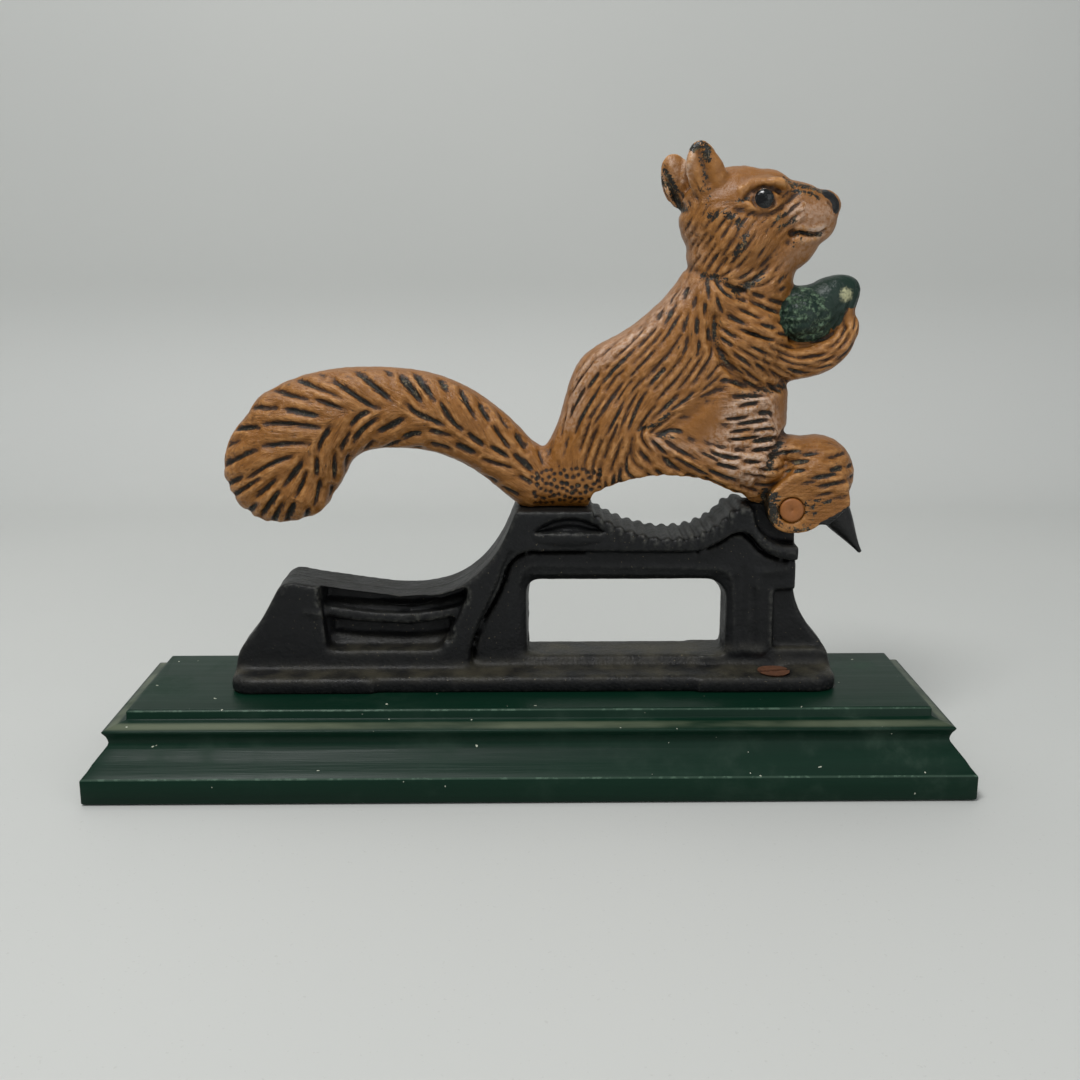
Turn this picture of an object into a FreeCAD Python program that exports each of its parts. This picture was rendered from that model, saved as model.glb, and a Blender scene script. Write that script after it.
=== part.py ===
import FreeCAD, Part
import math
import os
from FreeCAD import Vector as V

# Lever nutcracker press. Millimetres, +Z up, X along the plinth, front towards -Y.
# The origin is the middle of the plinth's underside.

# Plinth
PLINTH_LENGTH = 280.0
PLINTH_DEPTH = 80.0
EDGE_HEIGHT = 8.0
NECK_HEIGHT, NECK_INSET = 17.0, 7.4
LIP_HEIGHT, LIP_INSET = 21.6, 5.7
STEP_HEIGHT, FIELD_INSET = 23.6, 12.1
FIELD_HEIGHT = 26.5

# Castings: both are symmetric about one upright plane, a little behind the plinth's middle
CAST_Y = 7.0
FOOT_HALF = 21.0
FLANGE_HALF = 11.6
RAISED_HALF = 8.6
WEB_HALF = 5.0
FOOT_LEFT, FOOT_RIGHT = -98.5, 98.3
FOOT_TOP = 32.0
SILL_HEIGHT = 35.4
RIGHT_X = 88.1
REST_HEIGHT = 85.4

# Lower jaw: two arcs that meet level at its lowest point; upper jaw: one arc
JAW_LEFT, JAW_RIGHT = 18.9, 66.4
JAW_LOW_X, JAW_LOW_Z = 47.5, 75.3
LOWER_TEETH = 13
UPPER_LEFT = (21.0, 91.6)
UPPER_TOP = (45.6, 98.0)
UPPER_RIGHT = (69.2, 90.7)
UPPER_TEETH = 13
TOOTH_HEIGHT = 1.15

# Window: its edge is drafted, with a broad bevel round the mouth on each face
WINDOW_LEFT, WINDOW_RIGHT = -0.4, 64.9
WINDOW_TOP = 60.7
WINDOW_LEFT_CORNER, WINDOW_RIGHT_CORNER = 4.0, 7.0
WINDOW_DRAFT = 0.7
BEVEL_WIDTH = 3.0
BEVEL_DEPTH = 1.7

# Outlines of the frame's right end, its left end and the top of the hand-rest arm
RIGHT_EDGE = [("line", (RIGHT_X, 60.0)), ("curve", (89.5, 52.5), (92.1, 47.2), (95.8, 41.5), (98.3, 36.0))]
LEFT_EDGE = [("curve", (-96.2, 38.6), (-91.7, 44.5), (-87.4, 51.2), (-83.4, 58.4)),
             ("arc", (-81.2, 60.9), (-77.4, 61.6))]
ARM_TOP = ("curve", (-63.8, 59.3), (-53.9, 57.9), (-46.0, 56.8), (-40.0, 56.5), (-33.3, 57.1),
           (-26.1, 58.9), (-20.4, 61.9), (-16.1, 65.4), (-12.4, 69.6), (-9.0, 75.0),
           (-6.6, 80.2), (-4.6, REST_HEIGHT))

# Hinge
PIVOT_X, PIVOT_Z = 85.1, 85.7
LUG_RADIUS = 7.7
LUG_HALF = 11.9
SEAT_RADIUS = 12.3
TONGUE_RADIUS = 7.2
TONGUE_HALF = 4.0
NECK_TOP = 86.8
SLOT_REACH = 12.8
SIDE_GAP = 0.35
PIN_RADIUS = 2.5
PIN_CLEARANCE = 0.05
HEAD_RADIUS = 3.9
HEAD_HEIGHT = 1.3
REST_GAP = 0.15
SEAT_START = (PIVOT_X - SEAT_RADIUS, PIVOT_Z - 0.6)

# Main cuts in the fur: (x, z) of each one's start and end
TAIL_CUTS = [(-5.0, 111.0, 0.1, 103.6), (-17.2, 117.0, -12.7, 108.5), (-29.6, 125.0, -23.8, 117.5),
             (-43.0, 127.4, -35.0, 119.8), (-57.0, 126.8, -47.1, 120.8), (-73.5, 122.6, -59.5, 120.2),
             (-84.6, 114.6, -65.6, 111.8), (-92.2, 103.8, -72.2, 105.7), (-89.0, 91.6, -73.9, 102.8),
             (-79.4, 86.6, -71.6, 98.2), (-67.6, 92.8, -66.4, 103.7), (-60.8, 103.4, -53.7, 112.4),
             (-46.5, 109.2, -35.1, 113.7), (-33.6, 109.6, -21.8, 105.9), (-20.8, 104.0, -9.6, 100.6)]
BODY_CUTS = [(29.8, 136.0, 21.8, 127.1), (21.6, 129.0, 16.6, 117.5), (41.4, 138.7, 29.6, 122.9),
             (36.9, 126.1, 26.5, 111.0), (54.1, 137.2, 44.3, 122.9), (26.8, 110.0, 23.4, 98.6),
             (38.2, 106.1, 46.1, 99.2), (43.7, 105.8, 59.1, 99.2), (63.1, 116.1, 77.8, 118.0),
             (61.4, 108.3, 79.7, 110.3), (59.0, 101.8, 77.2, 100.5), (83.8, 98.5, 99.9, 102.4),
             (80.8, 93.5, 91.7, 95.8)]
UPPER_CUTS = [(60.5, 155.9, 73.3, 150.3), (63.4, 145.0, 77.9, 139.7), (65.4, 133.4, 73.6, 126.4),
              (86.0, 135.2, 98.0, 137.1), (64.0, 172.7, 60.2, 165.7)]
CUT_DEPTH = 0.55
CUT_WIDTH = 1.2
CUT_REACH = 1.6

# Screws through the foot: the one in front shows, the one behind is its diagonal mate
SCREW_PLACES = {"screw_front": (80.8, -7.4), "screw_back": (-58.0, 21.4)}
SCREW_HEAD_RADIUS = 5.3
SCREW_SHANK_RADIUS = 2.3
SCREW_CONE = 3.0
SCREW_LENGTH = 19.0
SLOT_WIDTH, SLOT_DEPTH, SLOT_TURN = 1.4, 1.2, 12.0


def outline(start, *steps):
    """Closed wire in the XZ plane from line, arc and curve steps."""
    edges = []
    here = start
    for kind, *points in steps + (("line", start),):
        if points[-1] == here:
            continue
        corners = [V(x, 0, z) for x, z in [here] + points]
        if kind == "line":
            edges.append(Part.LineSegment(*corners).toShape())
        elif kind == "arc":
            edges.append(Part.Arc(*corners).toShape())
        else:
            curve = Part.BSplineCurve()
            curve.interpolate(corners)
            edges.append(curve.toShape())
        here = points[-1]
    return Part.Wire(edges)


def slab(wire, half):
    """Outline extruded the same distance both ways from the casting's mid-plane."""
    face = Part.Face(wire)
    face.translate(V(0, CAST_Y - half, 0))
    return face.extrude(V(0, 2 * half, 0))


def both_sides(wire, inner, outer):
    """Outline extruded from inner to outer on each side of the mid-plane."""
    face = Part.Face(wire)
    near = face.copy()
    near.translate(V(0, CAST_Y - outer, 0))
    far = face.copy()
    far.translate(V(0, CAST_Y + inner, 0))
    depth = V(0, outer - inner, 0)
    return [near.extrude(depth), far.extrude(depth)]


def disc(radius, half, x=PIVOT_X, z=PIVOT_Z):
    """Cylinder across the mid-plane, about the pivot unless placed elsewhere."""
    return Part.makeCylinder(radius, 2 * half, V(x, CAST_Y - half, z), V(0, 1, 0))


def teeth(points, lift):
    """Arc steps for rounded teeth, one between each two points, lifted along (x, z)."""
    steps = []
    for (x0, z0), (x1, z1) in zip(points, points[1:]):
        middle = ((x0 + x1) / 2 + lift[0], (z0 + z1) / 2 + lift[1])
        steps.append(("arc", middle, (x1, z1)))
    return steps


def lower_jaw_points():
    """Valleys between the lower teeth, along two arcs that are level at the lowest point."""
    def height(x):
        end = JAW_LEFT if x < JAW_LOW_X else JAW_RIGHT
        reach = abs(end - JAW_LOW_X)
        rise = REST_HEIGHT - JAW_LOW_Z
        radius = (reach ** 2 + rise ** 2) / (2 * rise)
        return JAW_LOW_Z + radius - math.sqrt(radius ** 2 - (x - JAW_LOW_X) ** 2)
    xs = [JAW_LEFT + (JAW_RIGHT - JAW_LEFT) * i / LOWER_TEETH for i in range(LOWER_TEETH + 1)]
    return [(x, height(x)) for x in xs]


def upper_jaw_points():
    """Valleys between the upper teeth, along one arc over the nut."""
    ends = [V(x, 0, z) for x, z in (UPPER_LEFT, UPPER_TOP, UPPER_RIGHT)]
    arc = Part.Arc(*ends).toShape()
    return [(p.x, p.z) for p in arc.discretize(UPPER_TEETH + 1)]


def plinth():
    """Moulded plinth: the same moulding run along the length and the depth, mitred."""
    def run(length):
        half = length / 2
        left = [("line", (-half, EDGE_HEIGHT)),
                ("arc", (-half + 3.2, EDGE_HEIGHT + 3.9), (-half + NECK_INSET, NECK_HEIGHT)),
                ("arc", (-half + NECK_INSET - 0.3, NECK_HEIGHT + 2.6), (-half + LIP_INSET, LIP_HEIGHT)),
                ("line", (-half + FIELD_INSET, STEP_HEIGHT)),
                ("line", (-half + FIELD_INSET, FIELD_HEIGHT))]
        right = [("line", (half - FIELD_INSET, FIELD_HEIGHT)),
                 ("line", (half - FIELD_INSET, STEP_HEIGHT)),
                 ("line", (half - LIP_INSET, LIP_HEIGHT)),
                 ("arc", (half - NECK_INSET + 0.3, NECK_HEIGHT + 2.6), (half - NECK_INSET, NECK_HEIGHT)),
                 ("arc", (half - 3.2, EDGE_HEIGHT + 3.9), (half, EDGE_HEIGHT)),
                 ("line", (half, 0.0))]
        return Part.Face(outline((-half, 0.0), *left, *right))

    along = run(PLINTH_LENGTH)
    along.translate(V(0, -PLINTH_DEPTH / 2, 0))
    along = along.extrude(V(0, PLINTH_DEPTH, 0))
    across = run(PLINTH_DEPTH)
    across.rotate(V(0, 0, 0), V(0, 0, 1), 90)
    across.translate(V(-PLINTH_LENGTH / 2, 0, 0))
    across = across.extrude(V(PLINTH_LENGTH, 0, 0))
    body = along.common(across)
    for x, y in SCREW_PLACES.values():
        pilot = Part.makeCylinder(SCREW_SHANK_RADIUS, SCREW_LENGTH, V(x, y, FOOT_TOP - SCREW_LENGTH))
        body = body.cut(pilot)
    return body


def foot():
    """Flat foot with rounded corners, a pad at each end and a raised root under the web."""
    front, back = CAST_Y - FOOT_HALF, CAST_Y + FOOT_HALF
    length = FOOT_RIGHT - FOOT_LEFT
    base = Part.makeBox(length, back - front, FOOT_TOP - FIELD_HEIGHT, V(FOOT_LEFT, front, FIELD_HEIGHT))
    uprights = [e for e in base.Edges if abs(e.Vertexes[0].Z - e.Vertexes[1].Z) > 1]
    base = base.makeFillet(7.0, uprights)
    for y in (front, back - 1.2):
        relief = Part.makeBox(106.0, 1.2, FOOT_TOP - FIELD_HEIGHT, V(-51.0, y, FIELD_HEIGHT))
        base = base.cut(relief)
    rim = [e for e in base.Edges if min(v.Z for v in e.Vertexes) > FOOT_TOP - 0.01]
    base = base.makeChamfer(0.9, rim)
    root_half = WEB_HALF + 5.0
    left, right = FOOT_LEFT + 1.0, FOOT_RIGHT - 3.0
    section = [V(left, CAST_Y + y, z) for y, z in
               ((-root_half, FOOT_TOP - 1), (-root_half, FOOT_TOP), (-WEB_HALF, SILL_HEIGHT),
                (WEB_HALF, SILL_HEIGHT), (root_half, FOOT_TOP), (root_half, FOOT_TOP - 1))]
    root = Part.Face(Part.makePolygon(section + section[:1])).extrude(V(right - left, 0, 0))
    return base.fuse(root)


def flanged_part():
    """Full-width flange: left end block, hand-rest arm, flat rest, lower jaw, hump and seat."""
    hump = ("arc", (69.6, 86.7), SEAT_START)
    seat_low = (RIGHT_X, PIVOT_Z - math.sqrt(SEAT_RADIUS ** 2 - (RIGHT_X - PIVOT_X) ** 2))
    seat_middle = (PIVOT_X - 8.7, PIVOT_Z - 8.7)
    underside = [("line", (RIGHT_X, 68.6)),
                 ("curve", (84.0, 68.9), (79.3, 70.4), (74.8, 74.0), (71.4, 77.6), (68.0, 78.2),
                  (63.2, 75.7), (58.6, 73.0), (52.0, 71.7)),
                 ("line", (2.4, 71.9)),
                 ("arc", (-5.6, 69.4), (-8.6, 64.0)),
                 ("curve", (-10.2, 59.2), (-13.6, 52.6), (-17.6, 45.2), (-20.0, 36.0)),
                 ("line", (-20.0, FOOT_TOP)), ("line", (FOOT_LEFT + 0.6, FOOT_TOP))]
    wire = outline((FOOT_LEFT + 0.6, FOOT_TOP), *LEFT_EDGE, ARM_TOP, ("line", (JAW_LEFT, REST_HEIGHT)),
                   *teeth(lower_jaw_points(), (0.0, TOOTH_HEIGHT)), hump,
                   ("arc", seat_middle, seat_low), *underside)
    return slab(wire, FLANGE_HALF)


def raised_part():
    """Surround of the window and the right upright, lower in relief than the flange."""
    wire = outline((-18.6, FOOT_TOP), ("line", (-18.6, 36.4)),
                   ("curve", (-16.4, 45.0), (-12.3, 52.2), (-8.9, 59.0), (-7.2, 64.4)),
                   ("arc", (-4.4, 68.6), (2.6, 70.7)), ("line", (52.4, 70.5)),
                   ("curve", (59.0, 71.9), (63.8, 74.5), (68.2, 76.7), (70.6, 76.2), (74.0, 72.8),
                    (78.9, 69.1), (84.0, 67.6), (RIGHT_X, 67.3)),
                   *RIGHT_EDGE, ("line", (FOOT_RIGHT, FOOT_TOP)))
    return slab(wire, RAISED_HALF)


def web():
    """Thin plate that ties the whole casting together in its mid-plane."""
    wire = outline((FOOT_LEFT + 0.6, FOOT_TOP), *LEFT_EDGE, ARM_TOP,
                   ("line", (16.0, REST_HEIGHT)), ("line", (30.0, 72.0)), ("line", (64.0, 72.0)),
                   ("line", (70.0, 82.0)), ("line", (PIVOT_X - 8.0, 77.0)),
                   ("line", (RIGHT_X, 76.0)), *RIGHT_EDGE, ("line", (FOOT_RIGHT, FOOT_TOP)))
    return slab(wire, WEB_HALF)


def tongue():
    """Round tongue that carries the pin between the lever's two cheeks."""
    left, low = PIVOT_X - SEAT_RADIUS - 1.9, PIVOT_Z - SEAT_RADIUS - 2.0
    neck = outline((left, NECK_TOP), ("line", (left, low)), ("line", (RIGHT_X, low)),
                   ("line", (RIGHT_X, PIVOT_Z - 0.6)), ("line", (PIVOT_X, NECK_TOP)))
    return disc(TONGUE_RADIUS, TONGUE_HALF).fuse(slab(neck, TONGUE_HALF))


def window():
    """Opening with rounded corners, narrowest in the mid-plane where the mould parted."""
    def mouth(grow, half):
        left, right = WINDOW_LEFT - grow, WINDOW_RIGHT + grow
        low, high = SILL_HEIGHT, WINDOW_TOP + grow
        r, q = WINDOW_LEFT_CORNER, WINDOW_RIGHT_CORNER
        s, t = r * (1 - math.sqrt(0.5)), q * (1 - math.sqrt(0.5))
        wire = outline((left, low), ("line", (left, high - r)),
                       ("arc", (left + s, high - s), (left + r, high)), ("line", (right - q, high)),
                       ("arc", (right - t, high - t), (right, high - q)),
                       ("line", (right, low)))
        wire.translate(V(0, CAST_Y + half, 0))
        return wire
    inner, reach = RAISED_HALF - BEVEL_DEPTH, 1.5
    wide = WINDOW_DRAFT + BEVEL_WIDTH * reach
    halves = [Part.makeLoft([mouth(0.0, 0.0), mouth(WINDOW_DRAFT, side * inner),
                             mouth(wide, side * (inner + BEVEL_DEPTH * reach))], True, True)
              for side in (-1, 1)]
    return halves[0].fuse(halves[1])


def relief_pockets():
    """Sunk panels of the frame on both faces."""
    arm_panel = outline((-67.2, 38.6), ("line", (-68.8, 55.9)),
                        ("curve", (-55.0, 54.0), (-40.0, 52.4), (-29.0, 54.2), (-20.6, 58.6)),
                        ("curve", (-22.6, 52.0), (-26.4, 44.6), (-30.0, 38.6)))
    lens = outline((0.2, 76.6), ("arc", (12.0, 82.6), (25.6, 77.0)), ("arc", (13.0, 74.9), (0.2, 76.6)))
    side_panel = outline((81.0, 37.6), ("line", (81.0, 57.8)), ("line", (90.0, 57.8)),
                         ("line", (100.0, 37.6)))
    groove_1 = outline((70.0, 38.4), ("line", (70.0, 66.0)), ("line", (71.2, 66.0)), ("line", (71.2, 38.4)))
    groove_2 = outline((75.6, 38.4), ("line", (75.6, 62.0)), ("line", (76.4, 62.0)), ("line", (76.4, 38.4)))
    deep = both_sides(arm_panel, WEB_HALF, FOOT_HALF)
    deep += both_sides(lens, RAISED_HALF - 1.0, FOOT_HALF)
    deep += both_sides(side_panel, WEB_HALF + 0.6, FOOT_HALF)
    deep += both_sides(groove_1, RAISED_HALF - 1.6, FOOT_HALF)
    deep += both_sides(groove_2, RAISED_HALF - 0.8, FOOT_HALF)
    return deep


def lens_boss():
    """Raised lens that stands in the sunk lens over the window."""
    wire = outline((3.4, 77.2), ("arc", (12.6, 79.6), (22.6, 77.4)), ("arc", (12.9, 76.0), (3.4, 77.2)))
    return slab(wire, FLANGE_HALF - 0.8)


def arm_rib():
    """Curved rib that runs along the middle of the sunk arm panel."""
    wire = outline((-68.0, 53.0), ("curve", (-55.0, 51.0), (-43.0, 50.2), (-32.0, 50.9), (-21.4, 53.4)),
                   ("line", (-23.0, 49.2)),
                   ("curve", (-33.0, 46.9), (-44.0, 46.5), (-55.0, 47.2), (-68.0, 49.6)))
    return slab(wire, RAISED_HALF - 0.6)


def frame():
    """The whole cast frame with its jaw, seat, tongue and screw holes."""
    upper = flanged_part().fuse([raised_part(), web()])
    upper = upper.cut(relief_pockets())
    upper = upper.fuse([arm_rib(), lens_boss()])
    upper = upper.cut(window())
    upper = upper.cut(both_sides(outline_circle(SEAT_RADIUS), TONGUE_HALF, FOOT_HALF))
    upper = upper.cut(disc(LUG_RADIUS + 0.9, TONGUE_HALF + 0.01))
    body = foot().fuse([upper, tongue()])
    body = body.cut(disc(PIN_RADIUS + PIN_CLEARANCE, FOOT_HALF))
    for x, y in SCREW_PLACES.values():
        body = body.cut(screw_blank(x, y, 12.0))
    return body.removeSplitter()


def outline_circle(radius):
    """Closed circle about the pivot in the XZ plane."""
    return Part.Wire(Part.makeCircle(radius, V(PIVOT_X, 0, PIVOT_Z), V(0, 1, 0)))


def screw_blank(x, y, above=0.0):
    """Countersunk screw without its slot, or the hole for it when it reaches above the head."""
    tip = FOOT_TOP - SCREW_LENGTH
    shank = Part.makeCylinder(SCREW_SHANK_RADIUS, SCREW_LENGTH - SCREW_CONE, V(x, y, tip))
    cone = Part.makeCone(SCREW_SHANK_RADIUS, SCREW_HEAD_RADIUS, SCREW_CONE, V(x, y, FOOT_TOP - SCREW_CONE))
    blank = shank.fuse(cone)
    if above:
        blank = blank.fuse(Part.makeCylinder(SCREW_HEAD_RADIUS, above, V(x, y, FOOT_TOP)))
    return blank


def screw(x, y):
    """Slotted countersunk wood screw, flush with the foot."""
    body = screw_blank(x, y)
    half = 1.1 * SCREW_HEAD_RADIUS
    corner = V(x - half, y - SLOT_WIDTH / 2, FOOT_TOP - SLOT_DEPTH)
    slot = Part.makeBox(2 * half, SLOT_WIDTH, SLOT_DEPTH, corner)
    slot.rotate(V(x, y, 0), V(0, 0, 1), SLOT_TURN)
    return body.cut(slot)


def ring(low, high, thick, fullness=2.3, count=12):
    """Closed smooth section between two outline points, thick each way from the mid-plane."""
    a, b = V(low[0], CAST_Y, low[1]), V(high[0], CAST_Y, high[1])
    middle = (a + b) * 0.5
    along = (b - a) * 0.5
    points = []
    for i in range(count):
        t = 2 * math.pi * (i + 0.5) / count
        c, s = math.cos(t), math.sin(t)
        u = math.copysign(abs(c) ** (2 / fullness), c)
        v = math.copysign(abs(s) ** (2 / fullness), s)
        points.append(middle + along * u + V(0, thick * v, 0))
    curve = Part.BSplineCurve()
    curve.interpolate(points, PeriodicFlag=True)
    return Part.Wire(curve.toShape())


def swept(sections, fullness=2.3):
    """Solid through sections given as (low point, high point, half thickness)."""
    return Part.makeLoft([ring(*s, fullness) for s in sections], True, False)


def blob(x, z, rx, ry, rz, lean=0.0, side=0.0):
    """Ellipsoid that leans up to the right by some degrees, side millimetres off the mid-plane."""
    scale = FreeCAD.Matrix()
    scale.scale(rx, ry, rz)
    ball = Part.makeSphere(1.0).transformGeometry(scale)
    ball.rotate(V(0, 0, 0), V(0, 1, 0), -lean)
    ball.translate(V(x, CAST_Y + side, z))
    return ball


def pair(x, z, rx, ry, rz, lean, side):
    """The same ellipsoid on the near and the far side."""
    return [blob(x, z, rx, ry, rz, lean, -side), blob(x, z, rx, ry, rz, lean, side)]


def tail():
    """Bushy tail that arches back as the handle and ends in a round tip."""
    sections = [((3.0, 87.5), (8.5, 102.5), 8.5), ((-5.6, 87.4), (-0.6, 108.6), 9.0),
                ((-14.0, 94.4), (-5.8, 114.0), 9.5), ((-24.5, 100.9), (-17.7, 123.2), 10.0),
                ((-34.0, 104.0), (-29.6, 128.5), 10.3), ((-44.0, 104.7), (-43.0, 130.8), 10.5),
                ((-54.0, 103.5), (-57.3, 131.0), 10.6), ((-60.8, 97.4), (-70.8, 129.0), 10.6),
                ((-63.6, 92.0), (-82.4, 124.6), 10.4), ((-66.4, 88.4), (-90.8, 115.2), 9.6)]
    return [swept(sections), blob(-82.2, 98.9, 18.2, 9.9, 19.2), blob(-74.8, 90.6, 9.0, 9.0, 9.2)]


def torso():
    """Body from the narrow rump that rests on the frame up to the neck."""
    low = REST_HEIGHT + REST_GAP
    sections = [((-4.4, low), (79.0, low), 5.0), ((-4.6, 90.0), (82.0, 90.0), 9.5),
                ((1.5, 100.0), (84.2, 99.0), 12.4), ((8.0, 110.0), (84.2, 108.0), 13.2),
                ((11.6, 121.0), (84.0, 117.0), 13.2), ((16.3, 133.0), (84.0, 124.0), 12.8),
                ((28.4, 141.2), (82.0, 137.0), 12.4), ((39.2, 149.0), (82.5, 150.0), 12.0),
                ((46.6, 156.8), (83.8, 156.5), 11.4), ((50.2, 164.0), (84.6, 162.0), 11.0),
                ((52.0, 171.0), (84.0, 171.0), 10.6)]
    return [swept(sections, 2.5)]


def head():
    """Skull, muzzle, nose, chin, cheeks, brows, eyes and the two ears."""
    parts = [blob(66.6, 177.6, 19.3, 12.6, 16.4), blob(83.6, 178.9, 14.4, 8.6, 10.5, -12),
             blob(75.2, 184.7, 8.6, 8.0, 8.4, -12), blob(93.3, 181.7, 5.7, 4.6, 5.2),
             blob(80.6, 170.2, 12.4, 8.4, 9.7, 24)]
    parts += pair(67.0, 171.0, 13.0, 8.6, 10.6, 10, 5.0)
    parts += pair(73.4, 187.6, 7.2, 2.6, 1.9, 10, 8.4)
    parts += pair(73.6, 184.0, 3.1, 3.1, 3.1, 0, 9.0)
    parts += [blob(54.2, 191.6, 5.4, 2.8, 9.8, 12, -6.6), blob(57.2, 191.4, 3.8, 2.7, 8.4, 24, -6.6),
              blob(46.8, 189.3, 5.1, 2.8, 8.8, 16, 5.6)]
    return parts


def arms():
    """Bent arms, one on each side, and the joined paws that cup the acorn."""
    paws = [((76.0, 127.0), (78.0, 142.0), 10.5), ((88.0, 127.2), (88.4, 139.2), 9.8),
            ((98.4, 130.6), (95.4, 141.4), 8.6), ((105.0, 138.4), (99.4, 143.6), 6.4)]
    parts = [swept(paws), blob(102.6, 142.6, 3.8, 6.4, 5.6, -20), blob(82.5, 129.5, 5.3, 8.5, 4.1, 20)]
    parts += pair(69.0, 140.0, 13.6, 8.6, 13.4, -40, 5.6)
    parts += pair(59.0, 151.5, 10.0, 7.4, 9.6, -30, 5.4)
    return parts


def acorn():
    """Acorn cast in one with the paws: a wide cap and a smooth tapering nut."""
    return [blob(88.4, 147.4, 8.6, 9.2, 10.2, 31), blob(94.7, 151.2, 13.1, 7.4, 7.6, 31),
            blob(97.2, 148.8, 8.5, 6.4, 6.5, 31)]


def legs():
    """Thighs along the belly and the knee above the hinge."""
    parts = pair(57.0, 103.6, 27.0, 8.2, 8.6, -13, 6.0)
    parts += pair(30.0, 112.0, 17.0, 7.6, 17.5, 20, 5.8)
    return parts + [blob(94.2, 95.8, 13.1, 12.8, 13.0), blob(86.5, 104.6, 6.5, 9.5, 4.0)]


def lug():
    """Foot lug with flat cheeks around the pivot, and the root of the claw."""
    chin = outline((PIVOT_X - LUG_RADIUS, PIVOT_Z + 5.0), ("line", (PIVOT_X - LUG_RADIUS, PIVOT_Z)),
                   ("arc", (PIVOT_X - 5.4, PIVOT_Z - 5.5), (PIVOT_X + 1.0, PIVOT_Z - LUG_RADIUS + 0.1)),
                   ("curve", (PIVOT_X + 5.4, PIVOT_Z - 7.2), (94.6, 80.9)), ("line", (97.4, 80.4)),
                   ("line", (104.2, 87.0)), ("line", (103.6, 95.0)), ("line", (86.0, 99.0)))
    claw = swept([((95.2, 83.4), (102.6, 91.0), 5.0), ((97.4, 80.0), (105.6, 86.8), 4.6),
                  ((104.2, 74.0), (108.9, 77.4), 2.8), ((110.6, 68.4), (111.9, 68.9), 0.9)])
    return [slab(chin, LUG_HALF), claw]


def jaw_cutter():
    """Space over the nut: everything under the serrated belly, back to the hinge."""
    valleys = upper_jaw_points()
    wire = outline((19.0, 70.0), ("line", (19.0, REST_HEIGHT)), ("line", valleys[0]),
                   *teeth(valleys, (0.0, -TOOTH_HEIGHT)), ("line", (72.2, 87.6)),
                   ("line", (PIVOT_X - 8.6, 86.4)), ("line", (PIVOT_X - 8.6, 70.0)))
    return slab(wire, 40.0)


def fork_slot():
    """Gap between the cheeks: round above the pivot and open wide below it."""
    half = TONGUE_HALF + SIDE_GAP
    start = math.radians(-16.0)
    edge = (PIVOT_X + SLOT_REACH * math.cos(start), PIVOT_Z + SLOT_REACH * math.sin(start))
    left, low = PIVOT_X - SLOT_REACH, PIVOT_Z - SLOT_REACH
    middle = math.radians(-53.0)
    knee = (PIVOT_X + SLOT_REACH * math.cos(middle), PIVOT_Z + SLOT_REACH * math.sin(middle))
    top = NECK_TOP + 0.8
    wedge = outline((PIVOT_X, PIVOT_Z), ("line", edge), ("arc", knee, (PIVOT_X, low)),
                    ("line", (left, low)), ("line", (left, top)), ("line", (PIVOT_X, top)))
    return disc(TONGUE_RADIUS + 1.0, half).fuse(slab(wedge, half))


def skin(body, x, z):
    """How far the body's front stands from the mid-plane at a point, 0 where there is no body."""
    probe = Part.makeLine(V(x, CAST_Y - 30, z), V(x, CAST_Y, z)).common(body)
    return CAST_Y - probe.BoundBox.YMin if probe.Edges else 0.0


def fur_cuts(body):
    """V-shaped blades for the main cuts in the fur, the same on the near and the far side."""
    blades = []
    for x0, z0, x1, z1 in TAIL_CUTS + BODY_CUTS + UPPER_CUTS:
        ends = [skin(body, x0, z0), skin(body, x1, z1)]
        for side in (-1, 1):
            start = V(x0, CAST_Y + side * (ends[0] - CUT_DEPTH), z0)
            run = V(x1, CAST_Y + side * (ends[1] - CUT_DEPTH), z1) - start
            out = V(0, side * (CUT_REACH + CUT_DEPTH), 0)
            across = run.cross(out).normalize() * CUT_WIDTH
            corners = [start, start + out + across, start + out - across, start]
            blades.append(Part.Face(Part.makePolygon(corners)).extrude(run))
    return blades


def squirrel_lever():
    """The lever casting: figure, serrated upper jaw, forked lug and claw in one piece."""
    parts = torso() + tail() + head() + arms() + acorn() + legs()
    body = parts[0].fuse(parts[1:])
    body = body.cut(fur_cuts(body))
    body = body.cut(jaw_cutter())
    below_rest = Part.makeBox(34.0, 60.0, 10.0, V(-12.0, CAST_Y - 30, REST_HEIGHT + REST_GAP - 10))
    body = body.cut(below_rest)
    body = body.fuse(lug())
    body = body.cut([fork_slot(), disc(PIN_RADIUS, FOOT_HALF)])
    outside = V(PIVOT_X, CAST_Y - LUG_HALF - 5, PIVOT_Z)
    return body.cut(Part.makeCylinder(HEAD_RADIUS + 0.5, HEAD_HEIGHT + 5, outside, V(0, 1, 0)))


def pivot_pin():
    """Pin with a flat head in the front counterbore and a low peened head behind."""
    front = CAST_Y - LUG_HALF
    back = CAST_Y + LUG_HALF
    axis = V(0, 1, 0)
    shank = Part.makeCylinder(PIN_RADIUS, back - front, V(PIVOT_X, front, PIVOT_Z), axis)
    head_start = V(PIVOT_X, front + HEAD_HEIGHT, PIVOT_Z)
    head = Part.makeCylinder(HEAD_RADIUS, HEAD_HEIGHT + 0.3, head_start, V(0, -1, 0))
    peen = Part.makeCone(HEAD_RADIUS, PIN_RADIUS, 1.2, V(PIVOT_X, back, PIVOT_Z), axis)
    return shank.fuse([head, peen])


def main():
    """Write one STEP file per piece."""
    os.makedirs("parts", exist_ok=True)
    pieces = {"plinth": plinth(), "frame": frame(), "squirrel_lever": squirrel_lever(),
              "pivot_pin": pivot_pin()}
    for name, (x, y) in SCREW_PLACES.items():
        pieces[name] = screw(x, y)
    for name, shape in pieces.items():
        print(name, "valid", shape.isValid(), "solids", len(shape.Solids), "volume", round(shape.Volume))
        shape.exportStep("parts/" + name + ".step")


main()
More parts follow.
